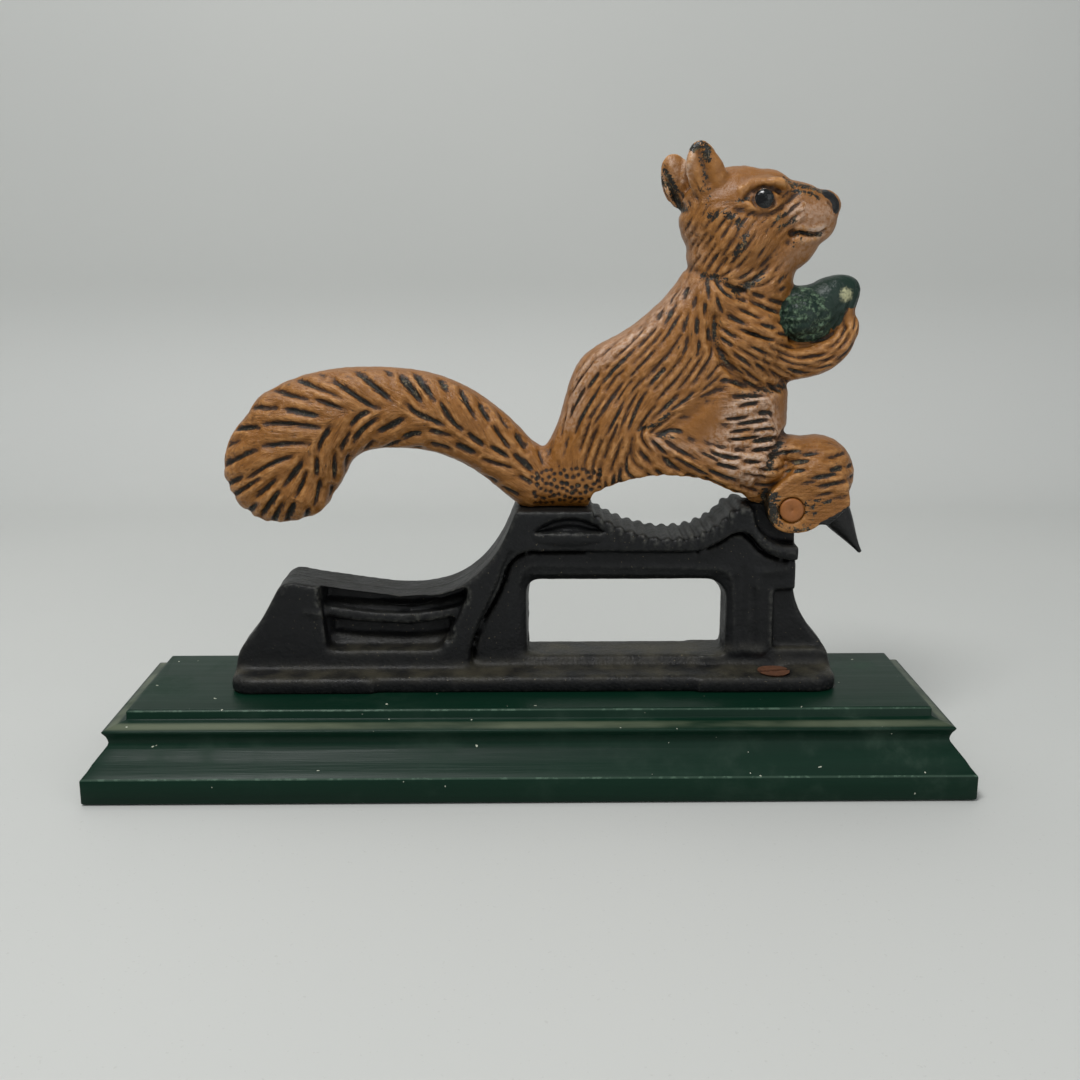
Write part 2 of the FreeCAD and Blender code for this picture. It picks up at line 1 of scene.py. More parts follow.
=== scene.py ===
import bmesh
import bpy
import math
import numpy as np
from mathutils import Matrix, Vector, noise
from mathutils.kdtree import KDTree


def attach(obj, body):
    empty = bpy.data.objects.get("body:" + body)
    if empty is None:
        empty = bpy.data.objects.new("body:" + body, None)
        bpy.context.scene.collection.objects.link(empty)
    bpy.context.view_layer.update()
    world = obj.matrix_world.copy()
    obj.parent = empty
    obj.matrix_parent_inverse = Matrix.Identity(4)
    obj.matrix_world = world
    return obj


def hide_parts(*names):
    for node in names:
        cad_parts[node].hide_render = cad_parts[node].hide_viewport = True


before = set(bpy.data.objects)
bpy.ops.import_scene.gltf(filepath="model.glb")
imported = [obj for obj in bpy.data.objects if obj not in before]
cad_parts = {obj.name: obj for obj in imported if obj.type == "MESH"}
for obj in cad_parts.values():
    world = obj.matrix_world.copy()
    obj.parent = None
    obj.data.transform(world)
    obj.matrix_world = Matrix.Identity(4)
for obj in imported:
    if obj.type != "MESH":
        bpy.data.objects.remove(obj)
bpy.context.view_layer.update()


# Where the press stands: a pale painted table that sweeps up into the wall
# behind it, seen from in front and a little above, in soft light from the
# upper left.
class Value:
    """A node's output; arithmetic on it adds Math nodes."""

    def __init__(self, finish, socket):
        self.finish = finish
        self.socket = socket

    def math(self, operation, *values):
        return self.finish.node("ShaderNodeMath", {"operation": operation}, dict(enumerate(values)))

    def __add__(self, other):
        return self.math("ADD", self, other)

    def __sub__(self, other):
        return self.math("SUBTRACT", self, other)

    def __rsub__(self, other):
        return self.math("SUBTRACT", other, self)

    def __mul__(self, other):
        return self.math("MULTIPLY", self, other)

    def __truediv__(self, other):
        return self.math("DIVIDE", self, other)

    __radd__ = __add__
    __rmul__ = __mul__

    def step(self, low, high):
        """0 below low, 1 above high, smooth between; low may be the larger."""
        return self.finish.node("ShaderNodeMapRange", {"interpolation_type": "SMOOTHSTEP"},
                                {"Value": self, "From Min": low, "From Max": high})


class Finish:
    """A surface finish built from shader nodes over the piece's own coordinates."""

    def __init__(self, name):
        self.material = bpy.data.materials.new(name)
        self.material.use_nodes = True
        self.tree = self.material.node_tree
        self.shader = self.tree.nodes["Principled BSDF"]
        self.place = self.node("ShaderNodeTexCoord", {}, {}, "Object")

    def feed(self, made, inputs):
        for name, value in inputs.items():
            if isinstance(value, Value):
                self.tree.links.new(value.socket, made.inputs[name])
            else:
                made.inputs[name].default_value = value

    def node(self, kind, settings, inputs, output=0):
        made = self.tree.nodes.new(kind)
        for name, value in settings.items():
            setattr(made, name, value)
        self.feed(made, inputs)
        return Value(self, made.outputs[output])

    def grain(self, scale, detail=3.0, rough=0.5, stretch=(1, 1, 1)):
        """Noise from 0 to 1 with features about one over scale metres across."""
        at = self.node("ShaderNodeMapping", {}, {"Vector": self.place, "Scale": stretch})
        return self.node("ShaderNodeTexNoise", {}, {"Vector": at, "Scale": scale, "Detail": detail,
                                                    "Roughness": rough}, "Fac")

    def carried(self, name):
        """A value that the piece's own mesh carries at its points."""
        return self.node("ShaderNodeAttribute", {"attribute_name": name}, {}, "Fac")

    def across(self):
        """The piece's own x and z at the shaded point, in millimetres."""
        apart = self.node("ShaderNodeSeparateXYZ", {}, {"Vector": self.place}, "X")
        return apart * 1000.0, Value(self, apart.socket.node.outputs["Z"]) * 1000.0

    def mix(self, share, first, second):
        return self.node("ShaderNodeMix", {"data_type": "RGBA"}, {0: share, 6: first, 7: second}, 2)

    def relief(self, height, depth):
        """Normal for a height from 0 to 1, depth metres high."""
        return self.node("ShaderNodeBump", {}, {"Height": height, "Distance": depth}, "Normal")

    def surface(self, **inputs):
        self.feed(self.shader, {name.replace("_", " "): value for name, value in inputs.items()})


def paint(red, green, blue):
    """A colour as a screen shows it, 0 to 255, for a shader."""
    return tuple(((c / 255 + 0.055) / 1.055) ** 2.4 if c > 10 else c / 255 / 12.92
                 for c in (red, green, blue)) + (1.0,)


table_finish = Finish("pale_table")
table_cloud = table_finish.grain(3.0, 2.0)
table_fleck = table_finish.grain(900.0, 1.0).step(0.72, 0.76)
table_pale = table_finish.mix(table_cloud, paint(184, 186, 183), paint(194, 195, 191))
table_finish.surface(Base_Color=table_finish.mix(table_fleck * 0.12, table_pale, paint(120, 116, 108)),
                     Roughness=0.62)

WALL_START, WALL_BEND, TABLE_SPAN = 0.40, 0.14, 3.0
bm = bmesh.new()
sweep = [bm.verts.new((-TABLE_SPAN / 2, y, z)) for y, z in
         [(-1.6, 0.0), (WALL_START, 0.0)]
         + [(WALL_START + WALL_BEND * math.sin(a), WALL_BEND * (1 - math.cos(a)))
            for a in (math.radians(t) for t in range(6, 91, 6))]
         + [(WALL_START + WALL_BEND, 2.0)]]
edges = [bm.edges.new(pair) for pair in zip(sweep, sweep[1:])]
made = bmesh.ops.extrude_edge_only(bm, edges=edges)["geom"]
bmesh.ops.translate(bm, verts=[g for g in made if isinstance(g, bmesh.types.BMVert)], vec=(TABLE_SPAN, 0, 0))
bmesh.ops.recalc_face_normals(bm, faces=bm.faces)
bmesh.ops.translate(bm, verts=bm.verts, vec=(0, 0, -0.0004))
for face in bm.faces:
    face.smooth = True
table_mesh = bpy.data.meshes.new("table")
bm.to_mesh(table_mesh)
bm.free()
table = bpy.data.objects.new("table", table_mesh)
bpy.context.scene.collection.objects.link(table)
table_mesh.materials.append(table_finish.material)

CAMERA_X, CAMERA_Y, CAMERA_Z = -2.0, -416.6, 172.8
CAMERA_DOWN, CAMERA_RIGHT = math.radians(13.22), math.radians(0.74)
PHOTO_HALF, PHOTO_FOCUS = 540.0, 1300.0
camera_data = bpy.data.cameras.new("camera")
camera_data.sensor_width = 36.0
camera_data.lens = 36.0 * PHOTO_FOCUS / (2 * PHOTO_HALF)
camera_data.clip_start = 0.02
camera = bpy.data.objects.new("camera", camera_data)
camera.location = (CAMERA_X / 1000, CAMERA_Y / 1000, CAMERA_Z / 1000)
camera.rotation_euler = (math.pi / 2 - CAMERA_DOWN, 0, -CAMERA_RIGHT)
bpy.context.scene.collection.objects.link(camera)
bpy.context.scene.camera = camera

for name, where, size, power in (("window_light", (-0.35, -0.55, 1.25), 0.4, 12.3),
                                 ("front_fill", (0.75, -1.1, 0.55), 1.1, 3.9),
                                 ("back_light", (-0.2, 0.32, 1.1), 0.6, 2.4)):
    lamp = bpy.data.lights.new(name, "AREA")
    lamp.size = size
    lamp.energy = power
    lamp_object = bpy.data.objects.new(name, lamp)
    lamp_object.location = where
    lamp_object.rotation_euler = (Vector((0, 0, 0.08)) - Vector(where)).to_track_quat("-Z", "Y").to_euler()
    bpy.context.scene.collection.objects.link(lamp_object)

world = bpy.data.worlds.new("room")
world.use_nodes = True
world.node_tree.nodes["Background"].inputs["Color"].default_value = (0.93, 0.96, 1.0, 1.0)
world.node_tree.nodes["Background"].inputs["Strength"].default_value = 0.345
bpy.context.scene.world = world
bpy.context.scene.view_settings.view_transform = "Standard"


# The plinth: one block of softwood with a square foot, a cove, a rounded lip
# and a raised field, moulded along all four sides and mitred at the corners,
# then brushed with dark green satin paint.
PLINTH_HALF_X, PLINTH_HALF_Y = 140.0, 40.0
# (inset from the block's side, height) up the moulding, from the square foot to the raised field
MOULDING = [(0.35, 0.0), (0.0, 0.4), (0.0, 7.6), (0.15, 8.0), (0.7, 8.5), (1.9, 9.9), (3.2, 11.9),
            (4.6, 13.6), (6.1, 15.4), (7.2, 16.8), (7.45, 17.6), (7.3, 18.6), (6.9, 19.8),
            (6.2, 20.9), (5.9, 21.5), (6.3, 21.85), (11.2, 23.3), (12.0, 23.5), (12.15, 23.8),
            (12.2, 26.0), (12.6, 26.45), (13.4, 26.5)]

bm = bmesh.new()
rings = []
for inset, height in MOULDING:
    corners = bmesh.ops.create_circle(bm, cap_ends=False, segments=4, radius=math.sqrt(2))["verts"]
    bmesh.ops.rotate(bm, verts=corners, matrix=Matrix.Rotation(math.radians(45), 3, "Z"))
    bmesh.ops.scale(bm, verts=corners, vec=(PLINTH_HALF_X - inset, PLINTH_HALF_Y - inset, 1))
    bmesh.ops.translate(bm, verts=corners, vec=(0, 0, height))
    rings.append(list(dict.fromkeys(edge for corner in corners for edge in corner.link_edges)))
for lower, upper in zip(rings, rings[1:]):
    bmesh.ops.bridge_loops(bm, edges=lower + upper)
bmesh.ops.holes_fill(bm, edges=bm.edges, sides=4)
bmesh.ops.recalc_face_normals(bm, faces=bm.faces)
mitres = [e for e in bm.edges if abs(e.verts[0].co.z - e.verts[1].co.z) > 0.01]
bmesh.ops.bevel(bm, geom=mitres, offset=0.35, segments=2, profile=0.5, affect="EDGES", material=-1)
long_edges = [e for e in bm.edges if e.calc_length() > 60]
bmesh.ops.subdivide_edges(bm, edges=long_edges, cuts=40, use_grid_fill=True)
bmesh.ops.scale(bm, verts=bm.verts, vec=(0.001, 0.001, 0.001))
plinth_mesh = bpy.data.meshes.new("painted_plinth")
for face in bm.faces:
    face.smooth = True
bm.to_mesh(plinth_mesh)
bm.free()
plinth = bpy.data.objects.new("painted_plinth", plinth_mesh)
bpy.context.scene.collection.objects.link(plinth)

green = Finish("brushed_green_paint")
green_x, green_z = green.across()
brush = green.grain(60.0, 5.0, 0.6, (0.12, 1, 2.6))
brush_fine = green.grain(260.0, 3.0, 0.6, (0.06, 1, 2.2))
dust = green.grain(45.0, 5.0, 0.62).step(0.50, 0.76)
speck = green.grain(620.0, 0.0).step(0.872, 0.885)
scuff = green.grain(420.0, 4.0, 0.65).step(0.50, 0.62)
FOOT_EDGE, FIELD_EDGE, LIP_TOP_HEIGHT = 8.1, 26.15, 22.5
worn_edge = sum(green_z.math("COMPARE", green_z, height, 0.25) for height in (FOOT_EDGE, FIELD_EDGE))
above_lip = green_z - LIP_TOP_HEIGHT
# Lighter in streaks along the top of the lip.
lip_top_pale_band = (above_lip * above_lip).step(0.42, 0.0) * green.grain(60.0, 4.0, 0.6, (0.25, 1, 1)).step(0.30, 0.66)
right_end = green_x.step(40.0, 150.0)
green_body = green.mix(brush, paint(2, 27, 17), paint(8, 43, 29))
green_dusty = green.mix(dust * 0.16 + dust * right_end * 0.34, green_body, paint(64, 82, 70))
green_worn = green.mix((scuff * 0.4 + 0.25) * worn_edge, green_dusty, paint(84, 108, 92))
green_worn = green.mix(lip_top_pale_band * 0.5, green_worn, paint(116, 122, 98))
green_specked = green.mix(speck * 0.85, green_worn, paint(186, 190, 172))
green.surface(Base_Color=green_specked, Roughness=dust * 0.2 + brush_fine * 0.16 + 0.30,
              Specular_IOR_Level=0.16,
              Normal=green.relief(brush_fine * 0.6 + brush * 0.5 + speck, 0.00014))
plinth_mesh.materials.append(green.material)
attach(plinth, "base")
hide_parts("plinth")


# The frame: one grey-iron sand casting, painted black, with draft-softened
# edges, a gritty skin, ridges both worn and lightened by a painted highlight,
# painted shade in its hollows and dust on its foot. It is worked here
# from the merged copy of the CAD casting.
CAST_Y = 7.0


class Casting:
    """A casting's points in millimetres, worked as the foundry's pattern is carved."""

    def __init__(self, name, node, voxel, grown=()):
        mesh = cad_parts[node].data.copy()
        mesh.materials.clear()
        bm = bmesh.new()
        bm.from_mesh(mesh)
        bmesh.ops.remove_doubles(bm, verts=bm.verts, dist=1e-6)
        for middle, radii, lean in grown:
            placed = Matrix.Translation(Vector(middle) / 1000) @ Matrix.Rotation(-math.radians(lean), 4, "Y")
            bmesh.ops.create_uvsphere(bm, u_segments=32, v_segments=20, radius=0.001,
                                      matrix=placed @ Matrix.Diagonal((*radii, 1)))
        bm.to_mesh(mesh)
        bm.free()
        self.piece = bpy.data.objects.new(name, mesh)
        bpy.context.scene.collection.objects.link(self.piece)
        remesh = self.piece.modifiers.new("even_skin", "REMESH")
        remesh.mode = "VOXEL"
        remesh.voxel_size = voxel / 1000
        remesh.use_smooth_shade = True
        self.settle()
        self.read()

    def settle(self):
        """Makes the piece's mesh what its modifiers show."""
        graph = bpy.context.evaluated_depsgraph_get()
        mesh = bpy.data.meshes.new_from_object(self.piece.evaluated_get(graph))
        self.piece.modifiers.clear()
        self.piece.data = mesh
        mesh.name = self.piece.name

    def read(self):
        mesh = self.piece.data
        self.size = len(mesh.vertices)
        self.at = np.zeros(self.size * 3, np.float32)
        mesh.vertices.foreach_get("co", self.at)
        self.at = self.at.reshape(-1, 3).astype(float) * 1000
        ends = np.zeros(len(mesh.edges) * 2, np.int32)
        mesh.edges.foreach_get("vertices", ends)
        self.ends = ends.reshape(-1, 2)
        self.degree = np.bincount(ends, minlength=self.size)
        self.write()

    def write(self):
        """Puts the points back in the mesh and finds which way they face."""
        mesh = self.piece.data
        mesh.vertices.foreach_set("co", (self.at / 1000).astype(np.float32).ravel())
        mesh.update()
        facing = np.zeros(self.size * 3, np.float32)
        mesh.vertex_normals.foreach_get("vector", facing)
        self.facing = facing.reshape(-1, 3).astype(float)

    def soften(self, rounds, share=0.5):
        """Moves each point towards the middle of its neighbours."""
        a, b = self.ends.T
        share = np.broadcast_to(share, self.size)[:, None]
        for _ in range(rounds):
            total = [np.bincount(a, self.at[b, i], self.size) + np.bincount(b, self.at[a, i], self.size)
                     for i in range(3)]
            middle = np.stack(total, 1) / self.degree[:, None]
            self.at += share * (middle - self.at)
        self.write()

    def spread(self, values, rounds):
        """Values at the points, averaged with their neighbours."""
        a, b = self.ends.T
        for _ in range(rounds):
            near = (np.bincount(a, values[b], self.size) + np.bincount(b, values[a], self.size)) / self.degree
            values = (values + near) / 2
        return values

    def raise_by(self, height):
        """Moves each point out along its own facing by height millimetres."""
        self.at += self.facing * height[:, None]
        self.write()

    def away(self, line):
        """Distance of each point from a line of (x, z) points, seen from the front."""
        here = self.at[:, [0, 2]]
        best = np.full(self.size, 1e9)
        line = np.array(line, float)
        for a, b in zip(line, line[1:]):
            along = b - a
            t = np.clip(((here - a) @ along) / max(along @ along, 1e-9), 0, 1)
            best = np.minimum(best, np.hypot(*(here - a - t[:, None] * along).T))
        return best

    def carry(self, name, values):
        """Stores values at the points for the finish to read."""
        layer = self.piece.data.attributes.new(name, "FLOAT", "POINT")
        layer.data.foreach_set("value", np.clip(values, 0, 1).astype(np.float32))

    def thin_to(self, triangles):
        """Joins small facets where the surface is flat, down to that many triangles."""
        mesh = self.piece.data
        mesh.calc_loop_triangles()
        ratio = triangles / len(mesh.loop_triangles)
        if ratio < 1:
            thin = self.piece.modifiers.new("thin", "DECIMATE")
            thin.ratio = ratio
            self.settle()
        self.piece.data.shade_smooth()

    def proud(self, rounds):
        """Millimetres that each point stands out from the average of its surroundings."""
        middle = np.stack([self.spread(self.at[:, i], rounds) for i in range(3)], 1)
        return ((self.at - middle) * self.facing).sum(1)

    def grit(self, scale, seed):
        """Smooth noise from -1 to 1 at the points, with features about scale millimetres across."""
        shift = Vector((seed * 17.3, seed * 5.1, seed * 9.7))
        return np.array([noise.noise(Vector(p) / scale + shift) for p in self.at])


def seen(px, py, plane=-2.0):
    """(x, z) in millimetres of a photograph's point on an upright plane across the depth."""
    over, down = (px - PHOTO_HALF) / PHOTO_FOCUS, (PHOTO_HALF - py) / PHOTO_FOCUS
    ahead = math.cos(CAMERA_DOWN) + down * math.sin(CAMERA_DOWN)
    rise = down * math.cos(CAMERA_DOWN) - math.sin(CAMERA_DOWN)
    depth = (plane - CAMERA_Y) / (ahead * math.cos(CAMERA_RIGHT) - over * math.sin(CAMERA_RIGHT))
    return (CAMERA_X + depth * (ahead * math.sin(CAMERA_RIGHT) + over * math.cos(CAMERA_RIGHT)),
            CAMERA_Z + depth * rise)


def bell(distance, width):
    """1 at no distance, falling smoothly to nothing past twice the width."""
    return np.exp(-(distance / width) ** 2)


IRON_FACE = -2.0
# (line, width, height) of what the pattern maker cut or raised on the frame's faces; a negative
# height is a groove
IRON_MARKS = [
    (((511, 553), (505, 566), (500.5, 581), (490, 605), (479, 628), (472, 650)), 0.9, -1.0),
    (((731, 523), (734, 513), (740, 509.5), (750, 510), (755, 514)), 0.7, 0.55),
    (((520, 582), (522, 571), (530, 565.5), (570, 566), (640, 567), (718, 568.5), (728, 572),
      (733, 580), (735, 600), (736, 645)), 0.8, 0.4),
    (((532, 575), (600, 574.5), (712, 576)), 0.6, 0.3),
    (((759, 538), (768, 546), (781, 550.5), (793, 551.5)), 0.7, 0.5),
    (((757, 590), (757, 573), (786, 570)), 1.5, 0.6),
    (((736.5, 578), (736.5, 650)), 0.6, -0.7),
    (((754.5, 590), (754.5, 648)), 0.7, -0.7),
    (((771, 592), (771, 645)), 0.8, 0.6),
    (((704, 657), (726, 652), (744, 650), (760, 651)), 1.9, 0.9),
    (((321, 590), (325, 606), (327, 640)), 1.0, 0.35),
    (((306, 610), (326, 613)), 1.0, 0.5),
    (((284, 592), (290, 581), (302, 578), (318, 583)), 0.8, 0.35),
    (((410, 612), (418, 618), (416, 640)), 1.0, 0.5),
]
# the lower jaw's edge, and how far apart and how high its ribs stand
JAW_LINE = [(590, 500), (600, 508), (620, 519.5), (640, 524.5), (656, 526.5), (672, 527),
            (690, 525), (704, 518), (716, 508), (727, 499), (738, 494)]
RIB_PITCH, RIB_HEIGHT = 3.9, 0.5
# (upper edge, lower edge, floor) of the two slots that run along the arm's panel
SLOTS = [(((321, 586.5), (345, 590), (400, 597), (440, 595), (466, 588)),
          ((324, 604), (360, 606.5), (410, 609), (440, 606), (462, 600)), 5.2),
         (((330, 620), (360, 623.5), (410, 626), (440, 622), (451, 619)),
          ((330, 636), (360, 640), (410, 641), (440, 639), (451, 636)), 5.2)]
iron = Casting("black_iron_frame", "frame", 0.62)
x, y, z = iron.at.T
toothed = np.clip((z - 74.0) / 3.0, 0, 1) * (x > 16) * (x < 70)
iron.soften(6, 0.5 * (1 - 0.75 * toothed))
lens = seen(569.0, 532.5, IRON_FACE)
iron.soften(26, 0.5 * bell(np.hypot((x - lens[0]) / 1.9, z - lens[1]) - 2.0, 4.5))
iron.soften(30, 0.5 * bell(z - 33.4, 2.6) * (iron.at[:, 1] < 20))
sideways = np.clip((np.abs(iron.facing[:, 1]) - 0.3) / 0.4, 0, 1)
for points, width, height in IRON_MARKS:
    line = [seen(px, py, IRON_FACE) for px, py in points]
    iron.raise_by(height * bell(iron.away(line), width) * sideways)
jaw = np.array([seen(px, py, CAST_Y) for px, py in JAW_LINE])
jaw_length = np.r_[0, np.cumsum(np.hypot(*np.diff(jaw, axis=0).T))]
by_jaw = np.clip(1.4 - iron.away(jaw) / 4.6, 0, 1) * (iron.at[:, 0] > jaw[0, 0])
iron.soften(14, 0.5 * by_jaw)
rib = np.cos(np.interp(iron.at[:, 0], jaw[:, 0], jaw_length) * 2 * math.pi / RIB_PITCH)
rib_shape = np.abs(rib + 0.3) ** 0.7 * np.sign(rib + 0.3) - 0.2
iron.raise_by(RIB_HEIGHT * rib_shape * by_jaw)
bump_x, bump_z = (iron.at[:, 0] - lens[0]) / 12.0, (iron.at[:, 2] - lens[1] + 1.2) / 3.0
boss = 1 - bump_x ** 2 - bump_z ** 2
face_y = np.median(iron.at[(np.abs(boss) < 0.3) & (iron.facing[:, 1] < -0.9), 1])
fill = np.minimum(iron.at[:, 1], face_y - 1.1 * np.clip(boss, 0, 1) ** 0.7)
lens_side = (iron.at[:, 1] < CAST_Y) * (bump_z < 0.55) * (boss > -0.35)
iron.at[:, 1] = np.where(lens_side, fill, iron.at[:, 1])
iron.write()
for upper_edge, lower_edge, floor in SLOTS:
    across_x, up_z = iron.at[:, 0], iron.at[:, 2]
    top_line = np.array([seen(px, py, IRON_FACE) for px, py in upper_edge])
    low_line = np.array([seen(px, py, IRON_FACE) for px, py in lower_edge])
    within = np.minimum.reduce([np.interp(across_x, *top_line.T) - up_z,
                                up_z - np.interp(across_x, *low_line.T),
                                across_x - top_line[0, 0], top_line[-1, 0] - across_x])
    sunk = np.clip(within / 1.3 + 0.35, 0, 1)
    iron.at[:, 1] += sunk * np.maximum(0, floor - iron.at[:, 1]) * (iron.at[:, 1] < CAST_Y)
    iron.write()
# the foot's right end runs on a little past the upright
TOE_START, TOE_LENGTH, FOOT_FADE = 74.0, 3.0, 44.0
x_end = iron.at[:, 0].max()
toe = np.clip((iron.at[:, 0] - TOE_START) / (x_end - TOE_START), 0, 1) ** 2
toe *= np.clip((FOOT_FADE - iron.at[:, 2]) / 12.0, 0, 1)
iron.at[:, 0] += TOE_LENGTH * toe
iron.write()
iron.soften(3, 0.4 * (1 - by_jaw))
sill = np.array([seen(px, py, IRON_FACE) for px, py in ((332, 648), (390, 650), (452, 647))])
iron.soften(24, 0.5 * bell(iron.away(sill), 2.4))
parting = bell(iron.at[:, 1] - CAST_Y, 0.6) * np.clip((z - 36.0) / 2.0, 0, 1) * (1 - by_jaw)
ragged = np.maximum(0, iron.grit(2.3, 3)) * np.clip(x + 3, 0, 1) * np.clip((6 - x) / 2, 0, 1) * (z < 62)
iron.raise_by(0.15 * parting + 0.5 * parting * ragged)
iron.raise_by(0.07 * iron.grit(5.2, 1) + 0.045 * iron.grit(1.9, 2))
# ridge marks raised edges, lightened below by rubbed wear and a painted highlight; hollow marks recesses,
# darkened below as painted shade
iron.carry("ridge", iron.spread(np.clip((iron.proud(5) - 0.05) / 0.14, 0, 1), 1))
iron.carry("hollow", iron.spread(np.clip((-iron.proud(10) - 0.03) / 0.16, 0, 1), 1))
iron.carry("dusty", np.clip(iron.facing[:, 2], 0, 1) * np.clip((FOOT_FADE - z) / 8.0, 0.12, 1))
iron.thin_to(190000)

black = Finish("black_painted_iron")
skin = black.grain(1100.0, 4.0, 0.6)
lumps = black.grain(420.0, 3.0, 0.55)
patchwork = black.grain(90.0, 5.0, 0.6)
dusting = patchwork.step(0.30, 0.70)
# Grey on the raised edges: partly paint rubbed off, partly a painted highlight.
ridge_wear_and_highlight = black.carried("ridge") * black.grain(650.0, 4.0, 0.65).step(0.38, 0.66)
black_body = black.mix(lumps, paint(9, 10, 12), paint(22, 23, 24))
black_dusty = black.mix(dusting * black.carried("dusty") * 0.62, black_body, paint(74, 70, 56))
black_worn_and_highlit = black.mix(ridge_wear_and_highlight * 0.5, black_dusty, paint(88, 88, 82))
# Painted shade: the black is darkened further in the hollows.
black_hollow_shaded = black.mix(black.carried("hollow") * 0.6, black_worn_and_highlit, paint(7, 8, 10))
pale_speck = black.grain(1500.0, 1.0).step(0.765, 0.775)
black_specked = black.mix(pale_speck * 0.5, black_hollow_shaded, paint(150, 138, 110))
black.surface(Base_Color=black_specked, Roughness=skin * 0.2 + dusting * 0.12 + 0.30,
              Specular_IOR_Level=0.24,
              Normal=black.relief(skin * 0.5 + lumps * 0.6, 0.00040))
iron.piece.data.materials.append(black.material)
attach(iron.piece, "base")
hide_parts("frame")


# The wood screws: two slotted countersunk steel screws that hold the frame's
# foot to the plinth, their heads gone rusty brown with the paint worn off.
rust = Finish("rusty_screw_steel")
rust_cloud = rust.grain(700.0, 4.0, 0.6)
rust.surface(Base_Color=rust.mix(rust_cloud, paint(70, 48, 36), paint(128, 84, 58)), Metallic=0.35,
             Roughness=rust_cloud * 0.3 + 0.42, Normal=rust.relief(rust_cloud, 0.0003))
for node in ("screw_front", "screw_back"):
    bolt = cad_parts[node]
    bolt.data.materials.clear()
    bolt.data.materials.append(rust.material)


# The squirrel lever: one iron casting, the tail the handle and the belly the
# upper jaw, cast with its fur cut as chisel strokes, then painted orange-brown
# so that the black ground shows in the deepest cuts. Acorn green, claw black.
HIDE = -3.0


def traced(*points):
    """(x, z) line through photograph points on the figure's front."""
    return [seen(px, py, HIDE) for px, py in points]


FAR_EAR = ((47.6, 12.4, 188.6), (5.3, 3.0, 9.6), 16)
figure = Casting("painted_squirrel", "squirrel_lever", 0.55, [FAR_EAR])
x, y, z = figure.at.T
PIVOT_X, PIVOT_Z = 85.1, 85.7
hinge = np.hypot(x - PIVOT_X, z - PIVOT_Z)
# how freely each point may move: held still round the hinge and where the belly meets the frame
clear_of_frame = np.maximum((z - 86.5) / 6.0, (-12.0 - x) / 10.0)
hold = np.clip((hinge - 8.0) / 5.0, 0, 1) * np.clip(clear_of_frame, 0.12, 1)
hold = np.where(x > 97, np.clip((z - 88) / 6, 0.1, 1), hold)
ears = np.clip((z - 182.5) / 3.0, 0, 1) * np.clip((63.0 - x) / 2.0, 0, 1)
figure.soften(24, 0.5 * hold * (1 - 0.9 * ears))

# (line, width, depth) of the carved folds and ridges; a negative depth is a ridge
FOLDS = [
    # under the arm, the neck and the jowl
    (((714, 318), (714, 342), (719, 354), (728, 368), (740, 382), (754, 388), (771, 389),
      (788, 385)), 1.8, 1.9),
    (((690, 268), (705, 276), (726, 282), (743, 295), (753, 299)), 1.6, 1.0),
    (((739, 291), (753, 279), (767, 266)), 1.7, 0.9),
    # brow, upper lid, eye corner, lower lid and the fold under it
    (((741, 189), (753, 181.5), (768, 178.5), (781, 181.5), (790, 189)), 1.2, -0.8),
    (((745, 197), (752, 190), (763, 186.5), (774, 187.5), (780.5, 192)), 0.7, 1.0),
    (((742, 201), (750, 199)), 0.9, 0.7),
    (((745, 203), (754, 208), (764, 211), (774, 209.5), (781, 203.5)), 0.8, -0.7),
    (((735, 209), (747, 213.5), (758, 215.5), (771, 214), (785, 205), (796, 194)), 1.0, 0.8),
    # mouth, its corner, lips and nostril
    (((793, 233.5), (801.5, 231.5), (811, 234.5), (822, 234), (828, 231)), 0.75, 1.5),
    (((790, 243), (796, 235)), 1.2, 0.7),
    (((800, 227), (812, 229), (824, 228)), 1.2, -0.4),
    (((800, 240), (812, 240), (820, 238)), 1.2, -0.4),
    (((833, 202), (837, 207)), 0.7, 0.6),
    # fuller edges of the tail's end
    (((247, 422), (253, 413), (260, 405)), 2.8, -0.9),
    (((342, 478), (339, 492), (330, 505)), 3.0, -1.0),
    # flank, groin, haunch and belly
    (((637, 432), (658, 430), (687, 415), (722, 385)), 2.0, 0.8),
    (((789, 435), (776, 452), (763, 473), (755, 490)), 1.6, 1.5),
    (((640, 433), (670, 447), (705, 470), (735, 490)), 1.6, -0.7),
    # ears: hollow, front rim, far hollow and its root
    (((700, 152), (705, 166), (709, 182)), 1.5, 1.1),
    (((693, 154), (688, 168), (687, 182)), 0.8, -0.5),
    (((669, 168), (673, 183), (681, 199)), 1.3, 0.8),
    (((680, 196), (686, 210)), 1.4, 0.9),
    # fingers round the acorn
    (((797, 373), (820, 367), (843, 352), (852, 335)), 1.0, 0.9),
    (((801, 358), (826, 355), (842, 343)), 0.9, 0.9),
    (((846, 318), (849, 330), (842, 342)), 0.7, 0.5),
    # sunk flats beside the pin's head, and the claw's facet
    (((770, 499), (772, 508), (775, 517)), 1.7, 0.7),
    (((806, 507), (812, 511)), 1.0, 0.6),
    (((834, 512), (845, 528), (859, 551)), 0.7, -0.6),
]
near_side = np.clip(-figure.facing[:, 1] * 2, 0, 1)
for points, width, depth in FOLDS:
    fold = bell(figure.away(traced(*points)), width)
    figure.raise_by(-depth * fold * hold * np.where(ears > 0.1, near_side, 1))

